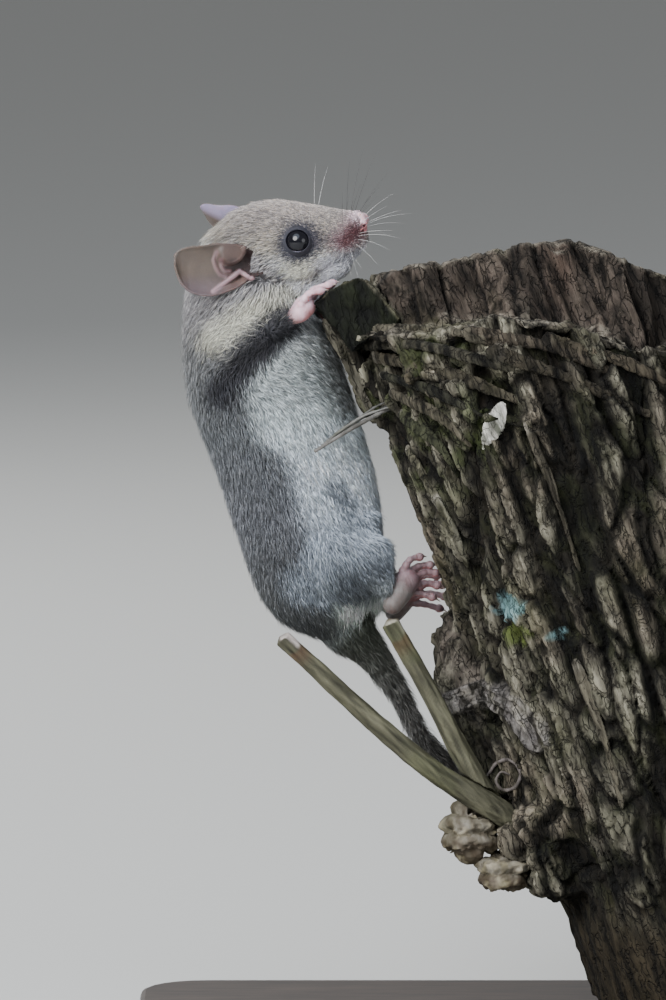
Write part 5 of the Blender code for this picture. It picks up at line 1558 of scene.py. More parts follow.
TOES_RIGHT = (((-26.8, 86.6, -5.8), (-25.6, 88.6, -5.0), (-23.6, 89.2, -3.6)),
              ((-26.0, 86.0, -4.6), (-24.2, 87.4, -3.4), (-21.7, 87.7, -2.2)),
              ((-25.4, 85.0, -4.2), (-23.2, 86.2, -3.0), (-20.7, 86.2, -1.9)),
              ((-25.4, 83.8, -4.4), (-23.0, 84.4, -3.2), (-20.4, 83.9, -2.1)),
              ((-26.2, 82.8, -5.0), (-24.0, 82.6, -4.4), (-21.3, 81.8, -3.6)))
FOOT_LEFT = ((-28.2, 79.0, 12.8, 1.8), (-26.8, 81.0, 11.9, 2.1), (-25.6, 83.2, 10.6, 2.3))
TOES_LEFT = (((-26.2, 84.8, 11.2), (-24.4, 86.6, 10.8), (-22.2, 87.2, 9.9)),
             ((-25.4, 84.2, 10.2), (-23.0, 85.6, 9.4), (-20.3, 85.6, 8.7)),
             ((-24.8, 83.2, 9.8), (-22.0, 84.2, 9.0), (-19.3, 83.9, 8.5)),
             ((-24.6, 81.9, 10.0), (-21.8, 82.4, 9.2), (-18.9, 81.8, 8.7)),
             ((-25.4, 80.8, 10.6), (-22.8, 80.4, 10.2), (-19.8, 79.6, 9.8)))
FINGER_RADII = (0.88, 0.68, 0.62)
TOE_RADII = (0.9, 0.66, 0.6)
HAND_SHADE = (210, 184, 194)
FOOT_SHADE = (128, 108, 112)
PAWS = (("hand_right", HAND_RIGHT, FINGERS_RIGHT, FINGER_RADII, HAND_SHADE),
        ("hand_left", HAND_LEFT, FINGERS_LEFT, FINGER_RADII, HAND_SHADE),
        ("foot_right", FOOT_RIGHT, TOES_RIGHT, TOE_RADII, FOOT_SHADE),
        ("foot_left", FOOT_LEFT, TOES_LEFT, TOE_RADII, FOOT_SHADE))
JOINT_SWELL = 0.12
FINGER_BALLS = 15
FINGER_PAD = (0.85, 0.85, 0.8)
PAD_BACK = 0.0004
PAW_VOXEL = 0.14
CLAW_LENGTH = 1.4
CLAW_ROOT, CLAW_POINT = 0.36, 0.05
CLAW_BEND = 0.22

paw_finish, paw_shader, paw_tree = two_tints(
    "paw_skin", 0.5, 700.0, (0.78, 0.66, 0.66), (1.12, 1.08, 1.08),
    Subsurface_Weight=0.3, Subsurface_Scale=0.001, Subsurface_Radius=(1.0, 0.4, 0.3))
bump(paw_tree, paw_shader, noise_of(paw_tree, 1700.0, 5.0, 0.65, (1.0, 1.0, 0.45)), 0.9, 0.22)
claw_finish = two_tints("claw_horn", 0.3, 900.0, (0.35, 0.27, 0.24), (0.55, 0.45, 0.4),
                        marked=False)[0]


def finger_balls(line, radii):
    """Balls along a finger with fuller joints, and a pad below its tip."""
    rows = along([(*spot, radius) for spot, radius in zip(line, radii)], FINGER_BALLS)
    balls = []
    for i, row in enumerate(rows):
        swell = JOINT_SWELL * math.cos(i / (FINGER_BALLS - 1) * 4.0 * math.pi) ** 2
        balls.append((at(*row[:3]), (row[3] - JOINT_SWELL + swell,) * 3, (0, 0, 0)))
    tip = at(*line[-1])
    way = (tip - at(*line[-2])).normalized()
    balls.append((tip - way * PAD_BACK, FINGER_PAD, (0, 0, 0)))
    return balls


def make_claw(spot, way):
    """A cone, bent down towards its point."""
    claw = made(bpy.ops.mesh.primitive_cone_add, vertices=10, radius1=CLAW_ROOT * MM,
                radius2=CLAW_POINT * MM, depth=CLAW_LENGTH * MM)
    work(claw, "SUBSURF", levels=1, render_levels=1, subdivision_type="SIMPLE")
    claw.rotation_euler = way.to_track_quat("Z", "Y").to_euler()
    claw.location = spot + way * CLAW_LENGTH * 0.42 * MM
    settle(claw)
    rows = corners(claw)
    out = np.maximum((rows - np.array(spot)) @ np.array(way), 0.0) / MM
    rows[:, 2] -= CLAW_BEND * out ** 2 * MM
    place_corners(claw, rows)
    return claw


def paw_colours(paw, shade, palm):
    """The paw's own tone, redder under the tips and on the pads, browner at the wrist."""
    rows = corners(paw)
    under = ease(0.2, 0.9, -outward(paw)[:, 2])
    colours = mix_in(one_tone(shade, rows), 0.8 * under, tone(160, 104, 102))
    wrist = np.linalg.norm(rows - np.array(at(*palm[0][:3])), axis=1)
    if shade == FOOT_SHADE:
        return mix_in(colours, 0.8 * (1.0 - ease(3.0, 6.5, wrist / MM)), tone(92, 94, 88))
    pad_place = at(palm[1][0] + 2.2, palm[1][1] - 0.2, palm[1][2])
    pad = np.linalg.norm(rows - np.array(pad_place), axis=1)
    colours = mix_in(colours, 0.6 * (1.0 - ease(1.0, 2.4, pad / MM)), tone(172, 98, 90))
    return mix_in(colours, 0.75 * (1.0 - ease(1.0, 2.8, wrist / MM)), tone(128, 108, 102))


def make_paw(node, palm, fingers, radii, shade):
    """One hand or foot of clay, and its claws."""
    balls = string_of_balls(palm)
    for line in fingers:
        balls += finger_balls(line, radii)
    paw = clay(node + "_skin", balls, PAW_VOXEL, 4)
    paint(paw, paw_colours(paw, shade, palm))
    seat(wear(paw, paw_finish), "paw_skin", node)
    claws = []
    for line in fingers:
        tip, before = at(*line[-1]), at(*line[-2])
        claws.append(make_claw(tip, (tip - before).normalized()))
    seat(wear(join(claws, node + "_claws"), claw_finish), "paw_skin")
    return paw


paws = [make_paw(*row) for row in PAWS]
print("paws:", [len(paw.data.polygons) for paw in paws], "faces")

# %% [markdown]
# ## The trunk
# Old, leaning wood: bark in long furrows along the lean, a broken top with a splintered ledge,
# stubs and a callus. The solid gives the form. Its copy is remeshed finely and its surface is
# pushed in and out by a noise that is stretched along the lean, as furrows are.

# %% Noise along the lean
TRUNK_LEAN = (at(-2.0, 129.0, 0.0) - at(37.0, 15.0, 0.0)).normalized()
TRUNK_ACROSS = TRUNK_LEAN.cross(Vector((0.0, 1.0, 0.0))).normalized()
TRUNK_AWAY = TRUNK_LEAN.cross(TRUNK_ACROSS)
TRUNK_WAYS = np.array([TRUNK_ACROSS, TRUNK_AWAY, TRUNK_LEAN])
# Blender's vector noise starts from the clock unless it is given a seed
NOISE_SEED = 5
noise.seed_set(NOISE_SEED)


def leaning(rows, wave, stretch, seed):
    """Places in units of a wave across the lean, drawn out along it."""
    local = rows @ TRUNK_WAYS.T / (wave * MM)
    local[:, 2] /= stretch
    return local + seed * 17.3


def furrow_noise(rows, wave, stretch, seed):
    """Noise at points, with waves in mm across the lean and stretched along it."""
    return np.array([noise.noise(Vector(p)) for p in leaning(rows, wave, stretch, seed)])


def hashed(values):
    """A number from 0 to 1 for each value, alike for equal values."""
    return np.modf(np.abs(np.sin(values * 12.9898) * 43758.5453))[0]


def bark_plates(rows, wave, stretch, seed):
    """Plates of bark: distance from a crack, level of the plate, place along the plate."""
    local = leaning(rows, wave, stretch, seed)
    local += 0.5 * np.array([noise.noise_vector(Vector(p) * 0.8) for p in local])
    found = [noise.voronoi(Vector(p)) for p in local]
    gap = np.array([distances[1] - distances[0] for distances, _ in found])
    own = np.array([spots[0] for _, spots in found])
    return gap, hashed(own @ np.array((1.0, 2.3, 3.7))), local[:, 2] - own[:, 2]


print("the trunk leans", round(math.degrees(math.acos(TRUNK_LEAN.z))), "degrees")

# %% Furrowed bark
TRUNK_VOXEL = 0.5
TRUNK_TRIANGLES = 190000
PANEL_WIDE = 6.5
# Heights of the bark in millimetres; the sink brings its middle back to the solid's surface
PLATE_HEIGHT = 1.5
FURROW_DEPTH = 2.3
BARK_SINK = 1.3
# Waves of noise in millimetres across the lean and how far they are stretched along it
PLATE_WAVE, PLATE_STRETCH = 5.2, 3.2
SMALL_WAVE, SMALL_STRETCH = 2.0, 2.4
LEDGE = ((-34.2, 129.1), (-27.4, 130.0), (-13.0, 131.8), (1.4, 130.3), (20.5, 125.5))
INNER_WOOD = ((-20.5, 76.5), (-17.5, 70.0), (-14.0, 66.0))
CALLUS = ((-18.4, 62.6), (-12.0, 65.0), (-6.4, 62.2), (-2.6, 56.6))

trunk = merged_copy("perch_trunk")
work(trunk, "REMESH", mode="VOXEL", voxel_size=TRUNK_VOXEL * MM)
work(trunk, "SMOOTH", factor=0.5, iterations=2)
rows = corners(trunk)
ways = outward(trunk)
right, up = picture(rows).T
ledge = np.interp(right, *zip(*LEDGE))
facing = ease(0.0, 0.4, -ways[:, 1]) + ease(0.4, 0.8, ways[:, 2])
wall = ease(-0.4, 0.8, up - ledge) * np.minimum(facing, 1.0)
broken = ease(0.45, 0.8, np.abs(ways @ np.array(TRUNK_LEAN)))
low = 1.0 - ease(20.0, 31.0, up)
flat_places = np.stack([right, up], axis=1)
callus_gap = gap_to_line(flat_places, CALLUS)
inner = (1.0 - ease(2.0, 3.6, gap_to_line(flat_places, INNER_WOOD))) * (ways[:, 1] < 0.2)
callus = (1.0 - ease(1.8, 2.6, callus_gap)) * (ways[:, 1] < 0.2)
bend = furrow_noise(rows, 9.0, 4.0, 1)
bent_rows = rows + np.outer(bend, TRUNK_ACROSS) * 0.002
gap, level, along_plate = bark_plates(bent_rows, PLATE_WAVE, PLATE_STRETCH, 1)
small_gap, small_level, _ = bark_plates(rows, SMALL_WAVE, SMALL_STRETCH, 2)
furrow = 1.0 - ease(0.05, 0.2, np.abs(furrow_noise(rows, 7.0, 7.0, 2)))
fibre = furrow_noise(rows, 0.9, 9.0, 3)
crumb = furrow_noise(rows, 1.5, 1.0, 4)
bark = PLATE_HEIGHT * ease(0.0, 0.17, gap) + 0.9 * (level - 0.5) + 0.35 * along_plate
bark += 0.6 * ease(0.0, 0.2, small_gap) + 0.4 * (small_level - 0.5) - FURROW_DEPTH * furrow
bark += 0.25 * fibre + 0.2 * crumb - BARK_SINK
panel = rows @ np.array(TRUNK_ACROSS) / (PANEL_WIDE * MM) + 0.5 * furrow_noise(rows, 16.0, 3.0, 7)
panel_gap = np.minimum(panel % 1.0, 1.0 - panel % 1.0)
panel_level = hashed(np.floor(panel))
wall_relief = 1.6 * (panel_level - 0.5) - 1.2 * (1.0 - ease(0.02, 0.13, panel_gap))
wall_relief += 0.5 * furrow_noise(rows, 1.5, 14.0, 8) + 0.25 * fibre - 0.4
height = bark + (wall_relief - bark) * wall
height += (0.5 * crumb + 0.9 * hashed(np.floor(panel * 3.0)) - 0.6 - height) * broken * 0.7
height += (0.5 * bend + 0.3 * fibre + 0.3 * crumb - 0.2 - height) * np.maximum(low, 0.8 * inner)
height += callus * (1.0 + 0.4 * np.sin(callus_gap * 5.0) + 0.4 * crumb - height)
place_corners(trunk, rows + ways * (height * MM)[:, None])
trunk.name = "trunk_bark"
print("trunk:", len(trunk.data.polygons) * 2, "triangles before thinning")

# %% Tones of the trunk
WOOD_GAIN = 1.25
DARK_AND_SHADED_CRACK_TONE, PALE_AND_LIT_PLATE_TONE = (24, 21, 16), (148, 144, 130)
MOSS_TONE, WALL_TONE = (50, 58, 30), (86, 77, 70)
LICHEN_TONE, YELLOW_TONE = (118, 152, 160), (74, 84, 40)
# Patches of lichen in the picture: right, up, radius
LICHENS = ((-8.1, 80.2, 2.7), (0.0, 75.4, 1.0), (-34.0, 89.8, 0.9))
YELLOW_LICHEN = (-6.7, 75.4, 2.2)
slow = furrow_noise(rows, 14.0, 1.5, 11)
# The furrows and cracks are dark and the raised plates pale: partly the bark's own tones, partly
# painted shade in the furrows and painted light on the plates.
plate = ease(0.02, 0.26, gap) * (1.0 - furrow) * (0.35 + 0.65 * ease(0.0, 0.22, small_gap))
colours = mix_in(one_tone(DARK_AND_SHADED_CRACK_TONE, rows), plate * (0.5 + 0.5 * level), tone(*PALE_AND_LIT_PLATE_TONE))
colours = mix_in(colours, 0.5 * ease(0.0, 0.4, slow) * plate, tone(98, 82, 72))
# Painted shade: the trunk is darkened by up to a third towards its right, the side turned from the
# light.
colours = colours * (1.0 - 0.32 * ease(-8.0, 12.0, right))[:, None]
moss_place = 1.0 - ease(9.0, 14.0, np.hypot(right + 22.0, (up - 115.0) * 0.8))
moss = ease(-0.1, 0.25, furrow_noise(rows, 3.5, 1.3, 12)) * (0.25 + 0.75 * moss_place)
colours = mix_in(colours, 0.75 * moss * (1.0 - wall), tone(*MOSS_TONE))
panels = np.outer(0.25 + 0.75 * panel_level, tone(*WALL_TONE)) * (1.0 + 0.8 * fibre)[:, None]
panels = mix_in(panels, ease(0.1, 0.5, -slow) * 0.4, tone(74, 54, 46))
# The lines between the panels of the broken wall are nearly black: partly the wood's own splits,
# partly painted shade in them.
panels = mix_in(panels, 1.0 - ease(0.0, 0.09, panel_gap), tone(20, 17, 15))
colours = colours + (panels - colours) * wall[:, None]
# Paler on the faces that look up, at the broken top.
pale_facing_up = ease(0.5, 0.9, ways[:, 2]) * ease(-0.2, 0.2, crumb + 0.1) * (up > 118.0)
colours = mix_in(colours, 0.8 * pale_facing_up, tone(128, 122, 112))
colours = mix_in(colours, low, tone(46, 41, 31))
colours = mix_in(colours, 0.8 * inner * (0.8 + 0.6 * crumb), tone(96, 89, 83))
colours = mix_in(colours, 0.7 * callus * (0.7 + 0.6 * crumb), tone(136, 132, 132))
wave = furrow_noise(rows, 1.6, 1.0, 13)
for place_right, place_up, radius in LICHENS:
    spot = np.hypot(right - place_right, up - place_up) / radius + 0.6 * wave
    lichen = (1.0 - ease(0.8, 1.0, spot)) * (ways[:, 1] < 0.0)
    colours = mix_in(colours, 0.9 * lichen, tone(*LICHEN_TONE))
place_right, place_up, radius = YELLOW_LICHEN
spot = np.hypot(right - place_right, up - place_up) / radius + 0.7 * wave
lichen = (1.0 - ease(0.8, 1.1, spot)) * (ways[:, 1] < 0.0)
colours = mix_in(colours, 0.85 * lichen, tone(*YELLOW_TONE))
paint(trunk, WOOD_GAIN * np.clip(colours, 0.0, 1.0))
work(trunk, "DECIMATE", ratio=min(1.0, TRUNK_TRIANGLES / (len(trunk.data.polygons) * 2)),
     use_collapse_triangulate=True)
print("trunk:", len(trunk.data.polygons), "triangles")

# %% Finish of wood
WOOD_GLOSS = 0.2
WOOD_RELIEF = 0.9
GRAIN_STRETCH = 5.0
CRACK_CELLS = 760.0
CRACK_WIDTH = 0.09
# The fine cracks are nearly black: partly the bark's own dark cracks, partly painted shade in them.
DARK_AND_SHADED_CRACK_COLOUR = (0.03, 0.028, 0.024, 1.0)


def spread(tree, value, low, high, **ends):
    """A value spread from 0 to 1, or between other ends, over the range from low to high."""
    sockets = {"Value": value, "From Min": low, "From Max": high}
    sockets.update({name.replace("_", " "): end for name, end in ends.items()})
    return add_node(tree, "MapRange", sockets).outputs["Result"]


def worked_out(tree, operation, first, second):
    """Two values multiplied or subtracted."""
    return add_node(tree, "Math", {0: first, 1: second}, operation=operation).outputs["Value"]


def groove_group(name, lean):
    """A shader group: bark tone and height from coordinates stretched along a lean in degrees."""
    group = bpy.data.node_groups.new(name, "ShaderNodeTree")
    for way, kind, sockets in (("INPUT", "Color", ("Dark", "Pale", "Moss")),
                               ("INPUT", "Float", ("Moss share", "Crack share")),
                               ("OUTPUT", "Color", ("Color",)), ("OUTPUT", "Float", ("Height",))):
        for socket in sockets:
            group.interface.new_socket(name=socket, in_out=way, socket_type="NodeSocket" + kind)
    given = group.nodes.new("NodeGroupInput").outputs
    result = group.nodes.new("NodeGroupOutput").inputs
    place = add_node(group, "TexCoord", {}).outputs["Object"]
    leaning_place = add_node(group, "Mapping", {
        "Vector": place, "Rotation": (0.0, math.radians(lean), 0.0),
        "Scale": (1.0, 1.0, GRAIN_STRETCH)}, vector_type="TEXTURE").outputs["Vector"]
    grain = add_node(group, "TexNoise", {"Vector": leaning_place, "Scale": 420.0, "Detail": 6.0,
                                         "Roughness": 0.62}).outputs["Fac"]
    blotch = add_node(group, "TexNoise", {"Vector": place, "Scale": 70.0,
                                          "Detail": 5.0}).outputs["Fac"]
    shake = add_node(group, "TexNoise", {"Vector": place, "Scale": 500.0}).outputs
    bark = mixed(group, "MIX", given["Dark"], given["Pale"], spread(group, grain, 0.38, 0.62))
    moss = worked_out(group, "MULTIPLY", spread(group, blotch, 0.52, 0.62), given["Moss share"])
    mossy = mixed(group, "MIX", bark, given["Moss"], moss)
    shaken = add_node(group, "VectorMath", {0: shake["Color"], 1: (0.0016,) * 3, 2: leaning_place},
                      operation="MULTIPLY_ADD").outputs["Vector"]
    cells = add_node(group, "TexVoronoi", {"Vector": shaken, "Scale": CRACK_CELLS},
                     feature="DISTANCE_TO_EDGE").outputs["Distance"]
    crack = spread(group, cells, 0.0, CRACK_WIDTH, To_Max=0.0,
                   To_Min=spread(group, shake["Fac"], 0.36, 0.56))
    deep = worked_out(group, "MULTIPLY", crack, given["Crack share"])
    group.links.new(mixed(group, "MIX", mossy, DARK_AND_SHADED_CRACK_COLOUR, deep), result["Color"])
    group.links.new(worked_out(group, "SUBTRACT", grain, deep), result["Height"])
    return group


bark_group = groove_group("bark_pattern", -19.0)
twig_group = groove_group("twig_pattern", -42.0)


def wood_finish(name, dark, pale, moss, moss_share, strength, roughness, crack, group=bark_group):
    """Wood: the bark pattern times the colours stored with the mesh."""
    material, shader, tree = finish(name, roughness, Specular_IOR_Level=WOOD_GLOSS)
    pattern = tree.nodes.new("ShaderNodeGroup")
    pattern.node_tree = group
    for socket, colour in (("Dark", dark), ("Pale", pale), ("Moss", moss)):
        pattern.inputs[socket].default_value = (*tone(*colour), 1.0)
    pattern.inputs["Moss share"].default_value = moss_share
    pattern.inputs["Crack share"].default_value = crack
    tree.links.new(mixed(tree, "MULTIPLY", mesh_colour(tree), pattern.outputs["Color"]),
                   shader.inputs["Base Color"])
    bump(tree, shader, pattern.outputs["Height"], strength, WOOD_RELIEF)
    return material


bark_finish = wood_finish("furrowed_bark", (68, 65, 58), (252, 250, 244), (180, 184, 150), 0.3,
                          1.0, 0.9, 0.5)
seat(wear(trunk, bark_finish), "bark", "perch_trunk")
print("bark finish ready")

# %% Finishes of shard, twigs and fungi
shard_finish = wood_finish("grey_shard", (96, 98, 88), (236, 234, 224), (170, 184, 130), 0.7,
                           1.0, 0.8, 0.2)
twig_finish = wood_finish("twig_bark", (170, 168, 160), (232, 230, 222), (196, 204, 170), 0.4, 0.4,
                          0.7, 0.12, twig_group)
fungus_finish = wood_finish("bracket_fungus", (176, 170, 150), (236, 232, 224), (190, 190, 160),
                            0.4, 0.4, 0.8, 0.0)
print("wood finishes ready")

# %% Plates of bark that stand off the trunk
# Each plate: places in the picture along it, half width, half thickness, tone
PLATES = (
    (((-33.5, 129.4), (-23.8, 129.6), (-13.0, 128.2)), 1.3, 0.8, (84, 80, 70)),
    (((-32.8, 127.2), (-22.0, 126.2), (-8.5, 122.4)), 1.5, 0.8, (56, 54, 46)),
    (((-31.6, 125.0), (-20.2, 122.2), (-5.8, 116.4)), 1.6, 0.7, (72, 68, 58)),
    (((-30.2, 122.0), (-22.0, 119.0), (-13.3, 114.4)), 1.5, 0.7, (48, 48, 40)),
    (((-28.8, 118.6), (-21.2, 114.8), (-15.8, 109.6)), 1.4, 0.6, (78, 74, 64)),
    (((-27.2, 114.8), (-21.2, 109.6), (-16.8, 103.2)), 1.4, 0.6, (54, 56, 42)),
    (((-14.8, 128.6), (-2.2, 126.6), (8.6, 122.4)), 1.6, 0.8, (70, 64, 56)),
    (((-10.4, 125.2), (1.4, 121.2), (15.8, 114.8)), 1.6, 0.7, (56, 52, 44)),
    (((-1.2, 127.4), (10.4, 124.2), (19.4, 120.1)), 1.5, 0.7, (76, 70, 60)),
    (((-25.6, 108.4), (-21.8, 101.4), (-18.2, 93.4)), 1.1, 0.5, (84, 82, 70)),
    (((-20.4, 99.0), (-17.0, 92.2), (-14.6, 85.4)), 1.0, 0.5, (98, 96, 86)),
    (((-6.0, 112.0), (-1.0, 101.0), (3.6, 88.0)), 1.2, 0.5, (70, 66, 58)),
    (((4.0, 70.0), (8.4, 58.0), (11.6, 46.0)), 1.2, 0.5, (86, 82, 72)),
)
CHIP = ((((-9.7, 115.8), (-11.2, 112.2), (-12.8, 108.4)), 2.1, 0.3, (214, 212, 212)),)
# The second, nearly black strip is painted shade: it fills the furrow in the shadow under the
# shard.
STRIP_AND_SHADE = ((((-40.0, 131.0), (-38.4, 127.2), (-36.0, 121.9), (-32.6, 115.4)), 1.4, 0.7, (92, 89, 80)),
         (((-38.0, 131.0), (-36.2, 127.2), (-34.4, 123.4), (-31.4, 118.4)), 1.9, 0.9, (30, 27, 22)))
PLATE_BALLS = 24
PLATE_VOXEL = 0.27
PLATE_LIFT = 0.3
# The depth of a plate is a smooth curve through this many spots on the trunk
DEPTH_SPOTS = 8
DEPTH_DEGREE = 2
VIEW_WAY = Vector((0.0, math.cos(VIEW_TILT), -math.sin(VIEW_TILT)))


def on_surface(tree, right, up):
    """Where the line of sight through a place in the picture meets a surface."""
    spot, way, _, _ = tree.ray_cast(at(right, up, -90.0), VIEW_WAY)
    if spot is None:
        spot, way, _, _ = tree.find_nearest(at(right, up, -6.0))
        spot = at(right, up, spot.y / MM)
        way = -VIEW_WAY
    return spot, way


def make_plates(name, plates, lift, end_tone, finish_of, leaf=False):
    """Flat splinters or a pointed leaf laid along the trunk, pale at their broken ends."""
    tree = search_tree(trunk)
    balls, starts = [], []
    for line, half_wide, half_thick, _ in plates:
        found = [on_surface(tree, *row) for row in along(line, DEPTH_SPOTS)]
        facing_way = sum((way for _, way in found), Vector()).normalized()
        depth = np.polyfit(range(DEPTH_SPOTS), [spot.y / MM for spot, _ in found], DEPTH_DEGREE)
        spots = []
        for i, row in enumerate(along(line, PLATE_BALLS)):
            place = (DEPTH_SPOTS - 1.0) * i / (PLATE_BALLS - 1)
            spots.append(at(row[0], row[1], np.polyval(depth, place) - PLATE_LIFT))
        starts.append(spots[0])
        reach = 1.6 * (spots[-1] - spots[0]).length / PLATE_BALLS / MM
        for i, spot in enumerate(spots):
            t = i / (PLATE_BALLS - 1)
            way = (spots[min(i + 1, PLATE_BALLS - 1)] - spots[max(i - 1, 0)]).normalized()
            cross = facing_way.cross(way).normalized()
            wide = half_wide * (0.85 + 0.15 * math.sin(7.0 * t + len(starts)) - 0.45 * t * t)
            rise = half_thick * 0.3 + lift * (1.0 - t)
            if leaf:
                wide = half_wide * (0.15 + 0.85 * math.sin(math.pi * (0.1 + 0.86 * t)))
            half = (reach, wide, half_thick * (1.0 - 0.4 * t))
            balls.append((spot + facing_way * rise * MM, half,
                          turn_of(way, cross, way.cross(cross))))
    thing = clay(name, balls, PLATE_VOXEL, 2)
    places = corners(thing)
    grain = furrow_noise(places, 0.7, 5.0, 21) + 0.6 * furrow_noise(places, 1.8, 1.5, 22)
    place_corners(thing, places + outward(thing) * (0.22 * grain * MM)[:, None])
    right_up = picture(places)
    gaps = np.array([gap_to_line(right_up, plate[0]) for plate in plates])
    shades = np.array([tone(*plate[3]) for plate in plates])[gaps.argmin(axis=0)]
    shades = shades * (1.0 + 0.5 * grain)[:, None]
    for spot in starts:
        near = np.linalg.norm(places - np.array(spot), axis=1) / MM
        shades = mix_in(shades, 0.8 * (1.0 - ease(0.9, 2.2, near)), tone(*end_tone))
    paint(thing, WOOD_GAIN * np.clip(shades, 0.0, 1.0))
    return seat(wear(thing, finish_of), "bark")


bark_plates_off = [make_plates("bark_splinters", PLATES, 1.0, (140, 136, 128), bark_finish),
                   make_plates("bark_chip", CHIP, 1.2, (216, 214, 214), shard_finish, leaf=True),
                   make_plates("bark_strip_and_shade", STRIP_AND_SHADE, 0.2, (88, 86, 78), bark_finish)]
print("plates:", [len(piece.data.polygons) for piece in bark_plates_off], "faces")

# %% Shard, twigs, stem and fungi
TWIG_ENDS = ((-47.3, 73.8), (-28.6, 76.0))
TWIG_LEANS = (30.0, 9.0)
SHELF_SPACING = 3.6


def dress(node, voxel, relief, wave, stretch, colours_of, material, slot, lean=0.0, shelf=0.0):
    """A fine copy of a solid with its own finish, a leaning grain and shelves over each other."""
    thing = merged_copy(node)
    work(thing, "REMESH", mode="VOXEL", voxel_size=voxel * MM)
    work(thing, "SMOOTH", factor=0.5, iterations=1)
    rows = corners(thing)
    ways = outward(thing)
    turned = rows @ np.array(Matrix.Rotation(math.radians(-lean), 3, "Y"))
    grain = furrow_noise(turned, wave, stretch, 5)
    grain += 0.5 * furrow_noise(turned, wave / 3, stretch, 6)
    shelves = np.abs(np.sin(math.pi * (picture(rows)[:, 1] / SHELF_SPACING + 0.35 * grain))) - 0.6
    place_corners(thing, rows + ways * (((grain - 0.3) * relief + shelf * shelves) * MM)[:, None])
    thing.name = node.replace("perch_", "") + "_wood"
    paint(thing, WOOD_GAIN * np.clip(colours_of(rows, ways, grain), 0.0, 1.0))
    return seat(wear(thing, material), slot, node)


SHARD_EDGE = ((-41.0, 136.9), (-37.3, 139.0), (-34.9, 139.9), (-33.3, 139.3), (-31.9, 137.7),
              (-27.4, 132.1))


def shard_tones(rows, _ways, grain):
    """Dark olive wood with a painted highlight along its rounded top edge."""
    colours = one_tone((19, 22, 12), rows) * (1.0 + 1.2 * grain)[:, None]
    # Painted highlight: a pale line along the top edge of the shard.
    edge = 1.0 - ease(0.3, 1.3, gap_to_line(picture(rows), SHARD_EDGE) + 0.6 * grain)
    return mix_in(colours, 0.8 * edge, tone(112, 108, 97))


def twig_tones(rows, ways, grain):
    """Olive bark, pale on the cut ends and brown just below them."""
    colours = one_tone((84, 83, 70), rows) * (1.0 + 0.8 * grain)[:, None]
    for end in TWIG_ENDS:
        near = np.hypot(*(picture(rows) - np.array(end)).T)
        colours = mix_in(colours, (1.0 - ease(1.6, 2.4, near)) * ease(0.3, 0.6, ways[:, 2]),
                         tone(178, 170, 170))
        colours = mix_in(colours, 0.5 * ease(1.8, 2.4, near) * (1.0 - ease(2.6, 6.0, near)),
                         tone(92, 66, 50))
    return colours


def fungus_tones(rows, ways, grain):
    """Cream zones round the stalk, brown below."""
    right, up = picture(rows).T
    zones = 0.5 + 0.5 * np.sin(np.hypot(right + 12.0, up - 42.0) * 3.2 + 3.0 * grain)
    colours = mix_in(one_tone((120, 117, 111), rows), zones, tone(88, 83, 75))
    colours = mix_in(colours, 0.7 * ease(-0.1, 0.5, -ways[:, 2]), tone(70, 60, 50))
    return mix_in(colours, 0.6 * ease(0.1, 0.6, grain), tone(158, 152, 136))


def stem_tones(rows, _ways, _grain):
    """Weathered grey."""
    return one_tone((112, 110, 110), rows)


shard = dress("perch_shard", 0.25, 0.6, 1.5, 3.0, shard_tones, shard_finish, "bark")
twigs = [dress(node, 0.28, 0.2, 0.9, 9.0, twig_tones, twig_finish, "twig", lean)
         for node, lean in zip(("perch_twig_low", "perch_twig_high"), TWIG_LEANS)]
fungi = [dress(node, 0.3, 0.5, 2.6, 0.6, fungus_tones, fungus_finish, "fungus", shelf=1.5)
         for node in ("perch_fungus_high", "perch_fungus_low")]
stem = dress("perch_stem", 0.12, 0.06, 0.6, 6.0, stem_tones, twig_finish, "twig")
dressed = [shard, stem] + twigs + fungi
print("shard, stem, twigs, fungi:", [len(thing.data.polygons) for thing in dressed], "faces")

# %% Dry tendril at the stub and splinters of the dead stem
TENDRIL = ((-10.4, 38.2), (-11.4, 42.4), (-12.2, 46.4), (-11.4, 50.2), (-9.4, 52.6), (-7.0, 52.4),
           (-5.8, 50.2), (-6.8, 48.0), (-9.0, 47.4), (-10.2, 49.0), (-9.2, 50.6), (-7.8, 50.2))
STEM_STRANDS = (((-42.9, 107.7), (-39.2, 110.9), (-36.2, 113.0), (-33.4, 114.6), (-28.0, 116.4)),
                ((-42.2, 108.7), (-38.6, 110.8), (-36.4, 112.4), (-32.6, 115.5), (-30.2, 116.8)),
                ((-40.6, 109.2), (-37.4, 112.2), (-35.6, 113.4), (-31.2, 115.4), (-27.4, 117.6)))


def draw_rod(name, spots, thick, shade):
    """A bent rod of uneven thickness through points, as a closed mesh."""
    last = len(spots) - 1
    line = [(spot, 0.5 + 0.6 * math.sin(math.pi * i / last) + 0.15 * math.sin(1.7 * i))
            for i, spot in enumerate(spots)]
    rod = drawn(name, [line], thick, 2)
    paint(rod, WOOD_GAIN * one_tone(shade, corners(rod)))
    return seat(wear(rod, twig_finish), "twig")


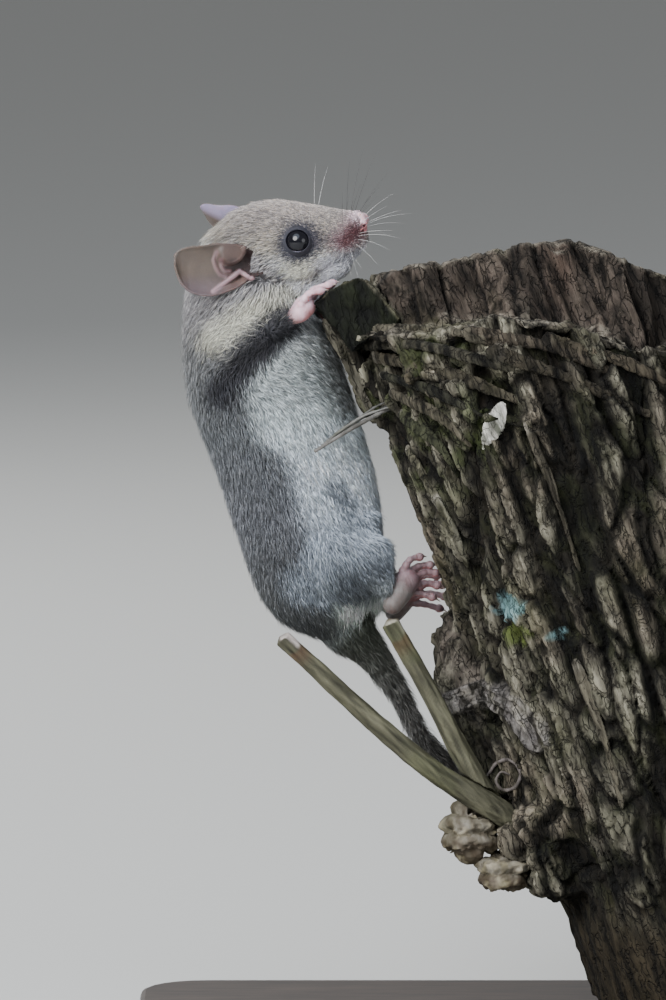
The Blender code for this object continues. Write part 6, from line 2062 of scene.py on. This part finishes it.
trunk_tree = search_tree(trunk)
hits = [on_surface(trunk_tree, *row)[0] for row in along(TENDRIL, 60)]
rods = [draw_rod("tendril", [spot - VIEW_WAY * (0.5 + 0.9 * math.sin(0.16 * i)) * MM
                             for i, spot in enumerate(hits)], 0.32, (98, 92, 92))]
stem_low, stem_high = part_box("perch_stem")
stem_deep = (stem_low[1] + stem_high[1]) / 2.0 / MM
for number, line in enumerate(STEM_STRANDS):
    spots = [at(row[0], row[1], stem_deep - 0.25 + 0.25 * number) for row in along(line, 30)]
    rods.append(draw_rod("stem_strand_" + str(number + 1), spots, 0.26, (120 - 30 * number,) * 3))
print("tendril and strands:", [len(rod.data.polygons) for rod in rods], "faces")

# %% Stand
stand_finish, stand_shader, stand_tree = finish("dark_wood", 0.38)
stand_grain = noise_of(stand_tree, 90.0, 6.0, 0.6, (1.0, 9.0, 9.0))
stand_tree.links.new(ramp(stand_tree, stand_grain, (0.018, 0.013, 0.01), (0.06, 0.042, 0.032)),
                     stand_shader.inputs["Base Color"])
bump(stand_tree, stand_shader, stand_grain, 0.15, 0.3)
rod_finish = two_tints("black_rod", 0.35, 600.0, (0.02, 0.02, 0.02), (0.04, 0.04, 0.042),
                       marked=False, Metallic=0.6)[0]
for node, material in (("stand_base", stand_finish), ("stand_rod_1", rod_finish),
                       ("stand_rod_2", rod_finish)):
    nodes[node].data.materials.clear()
    nodes[node].data.materials.append(material)
print("stand finished")

# %% Floor, light and camera
CAMERA_AIM = Vector((-39.42, 0.0, 102.3)) * MM
CAMERA_DISTANCE = 1.5
PICTURE_HEIGHT = 0.18
SENSOR = 36.0


def make_stage():
    """A wide plain floor."""
    floor = made(bpy.ops.mesh.primitive_circle_add, vertices=96, radius=40.0, fill_type="NGON")
    floor.name = "floor"
    floor.data.materials.append(finish("pale_floor", 0.8, Base_Color=(0.55, 0.55, 0.53, 1.0))[0])


def add_lamp(name, place, size, power, colour):
    """A round soft lamp that shines on the model."""
    light = bpy.data.lights.new(name, "AREA")
    light.shape = "DISK"
    light.size = size
    light.energy = power
    light.color = colour
    lamp = added(name, light)
    lamp.location = place
    lamp.rotation_euler = (CAMERA_AIM - Vector(place)).to_track_quat("-Z", "Y").to_euler()


make_stage()
add_lamp("key", (-0.62, -0.9, 0.72), 0.8, 23.0, (1.0, 0.98, 0.96))
add_lamp("fill", (0.8, -0.9, 0.35), 0.7, 3.5, (0.95, 0.97, 1.0))
add_lamp("sky", (-0.5, -0.85, 1.05), 1.35, 16.0, (0.72, 0.84, 1.0))
add_lamp("back", (-0.4, 0.8, 0.8), 0.6, 7.0, (1.0, 1.0, 1.0))
world = bpy.data.worlds.new("studio")
world.use_nodes = True
world.node_tree.nodes["Background"].inputs["Color"].default_value = (0.82, 0.84, 0.86, 1.0)
world.node_tree.nodes["Background"].inputs["Strength"].default_value = 0.34
bpy.context.scene.world = world

camera_data = bpy.data.cameras.new("camera")
camera_data.sensor_width = SENSOR
camera_data.lens = SENSOR * CAMERA_DISTANCE / PICTURE_HEIGHT
camera = added("camera", camera_data)
camera.location = CAMERA_AIM - VIEW_WAY * CAMERA_DISTANCE
camera.rotation_euler = (math.radians(90.0) - VIEW_TILT, 0.0, 0.0)
bpy.context.scene.camera = camera
print("camera at", [round(c, 3) for c in camera.location])
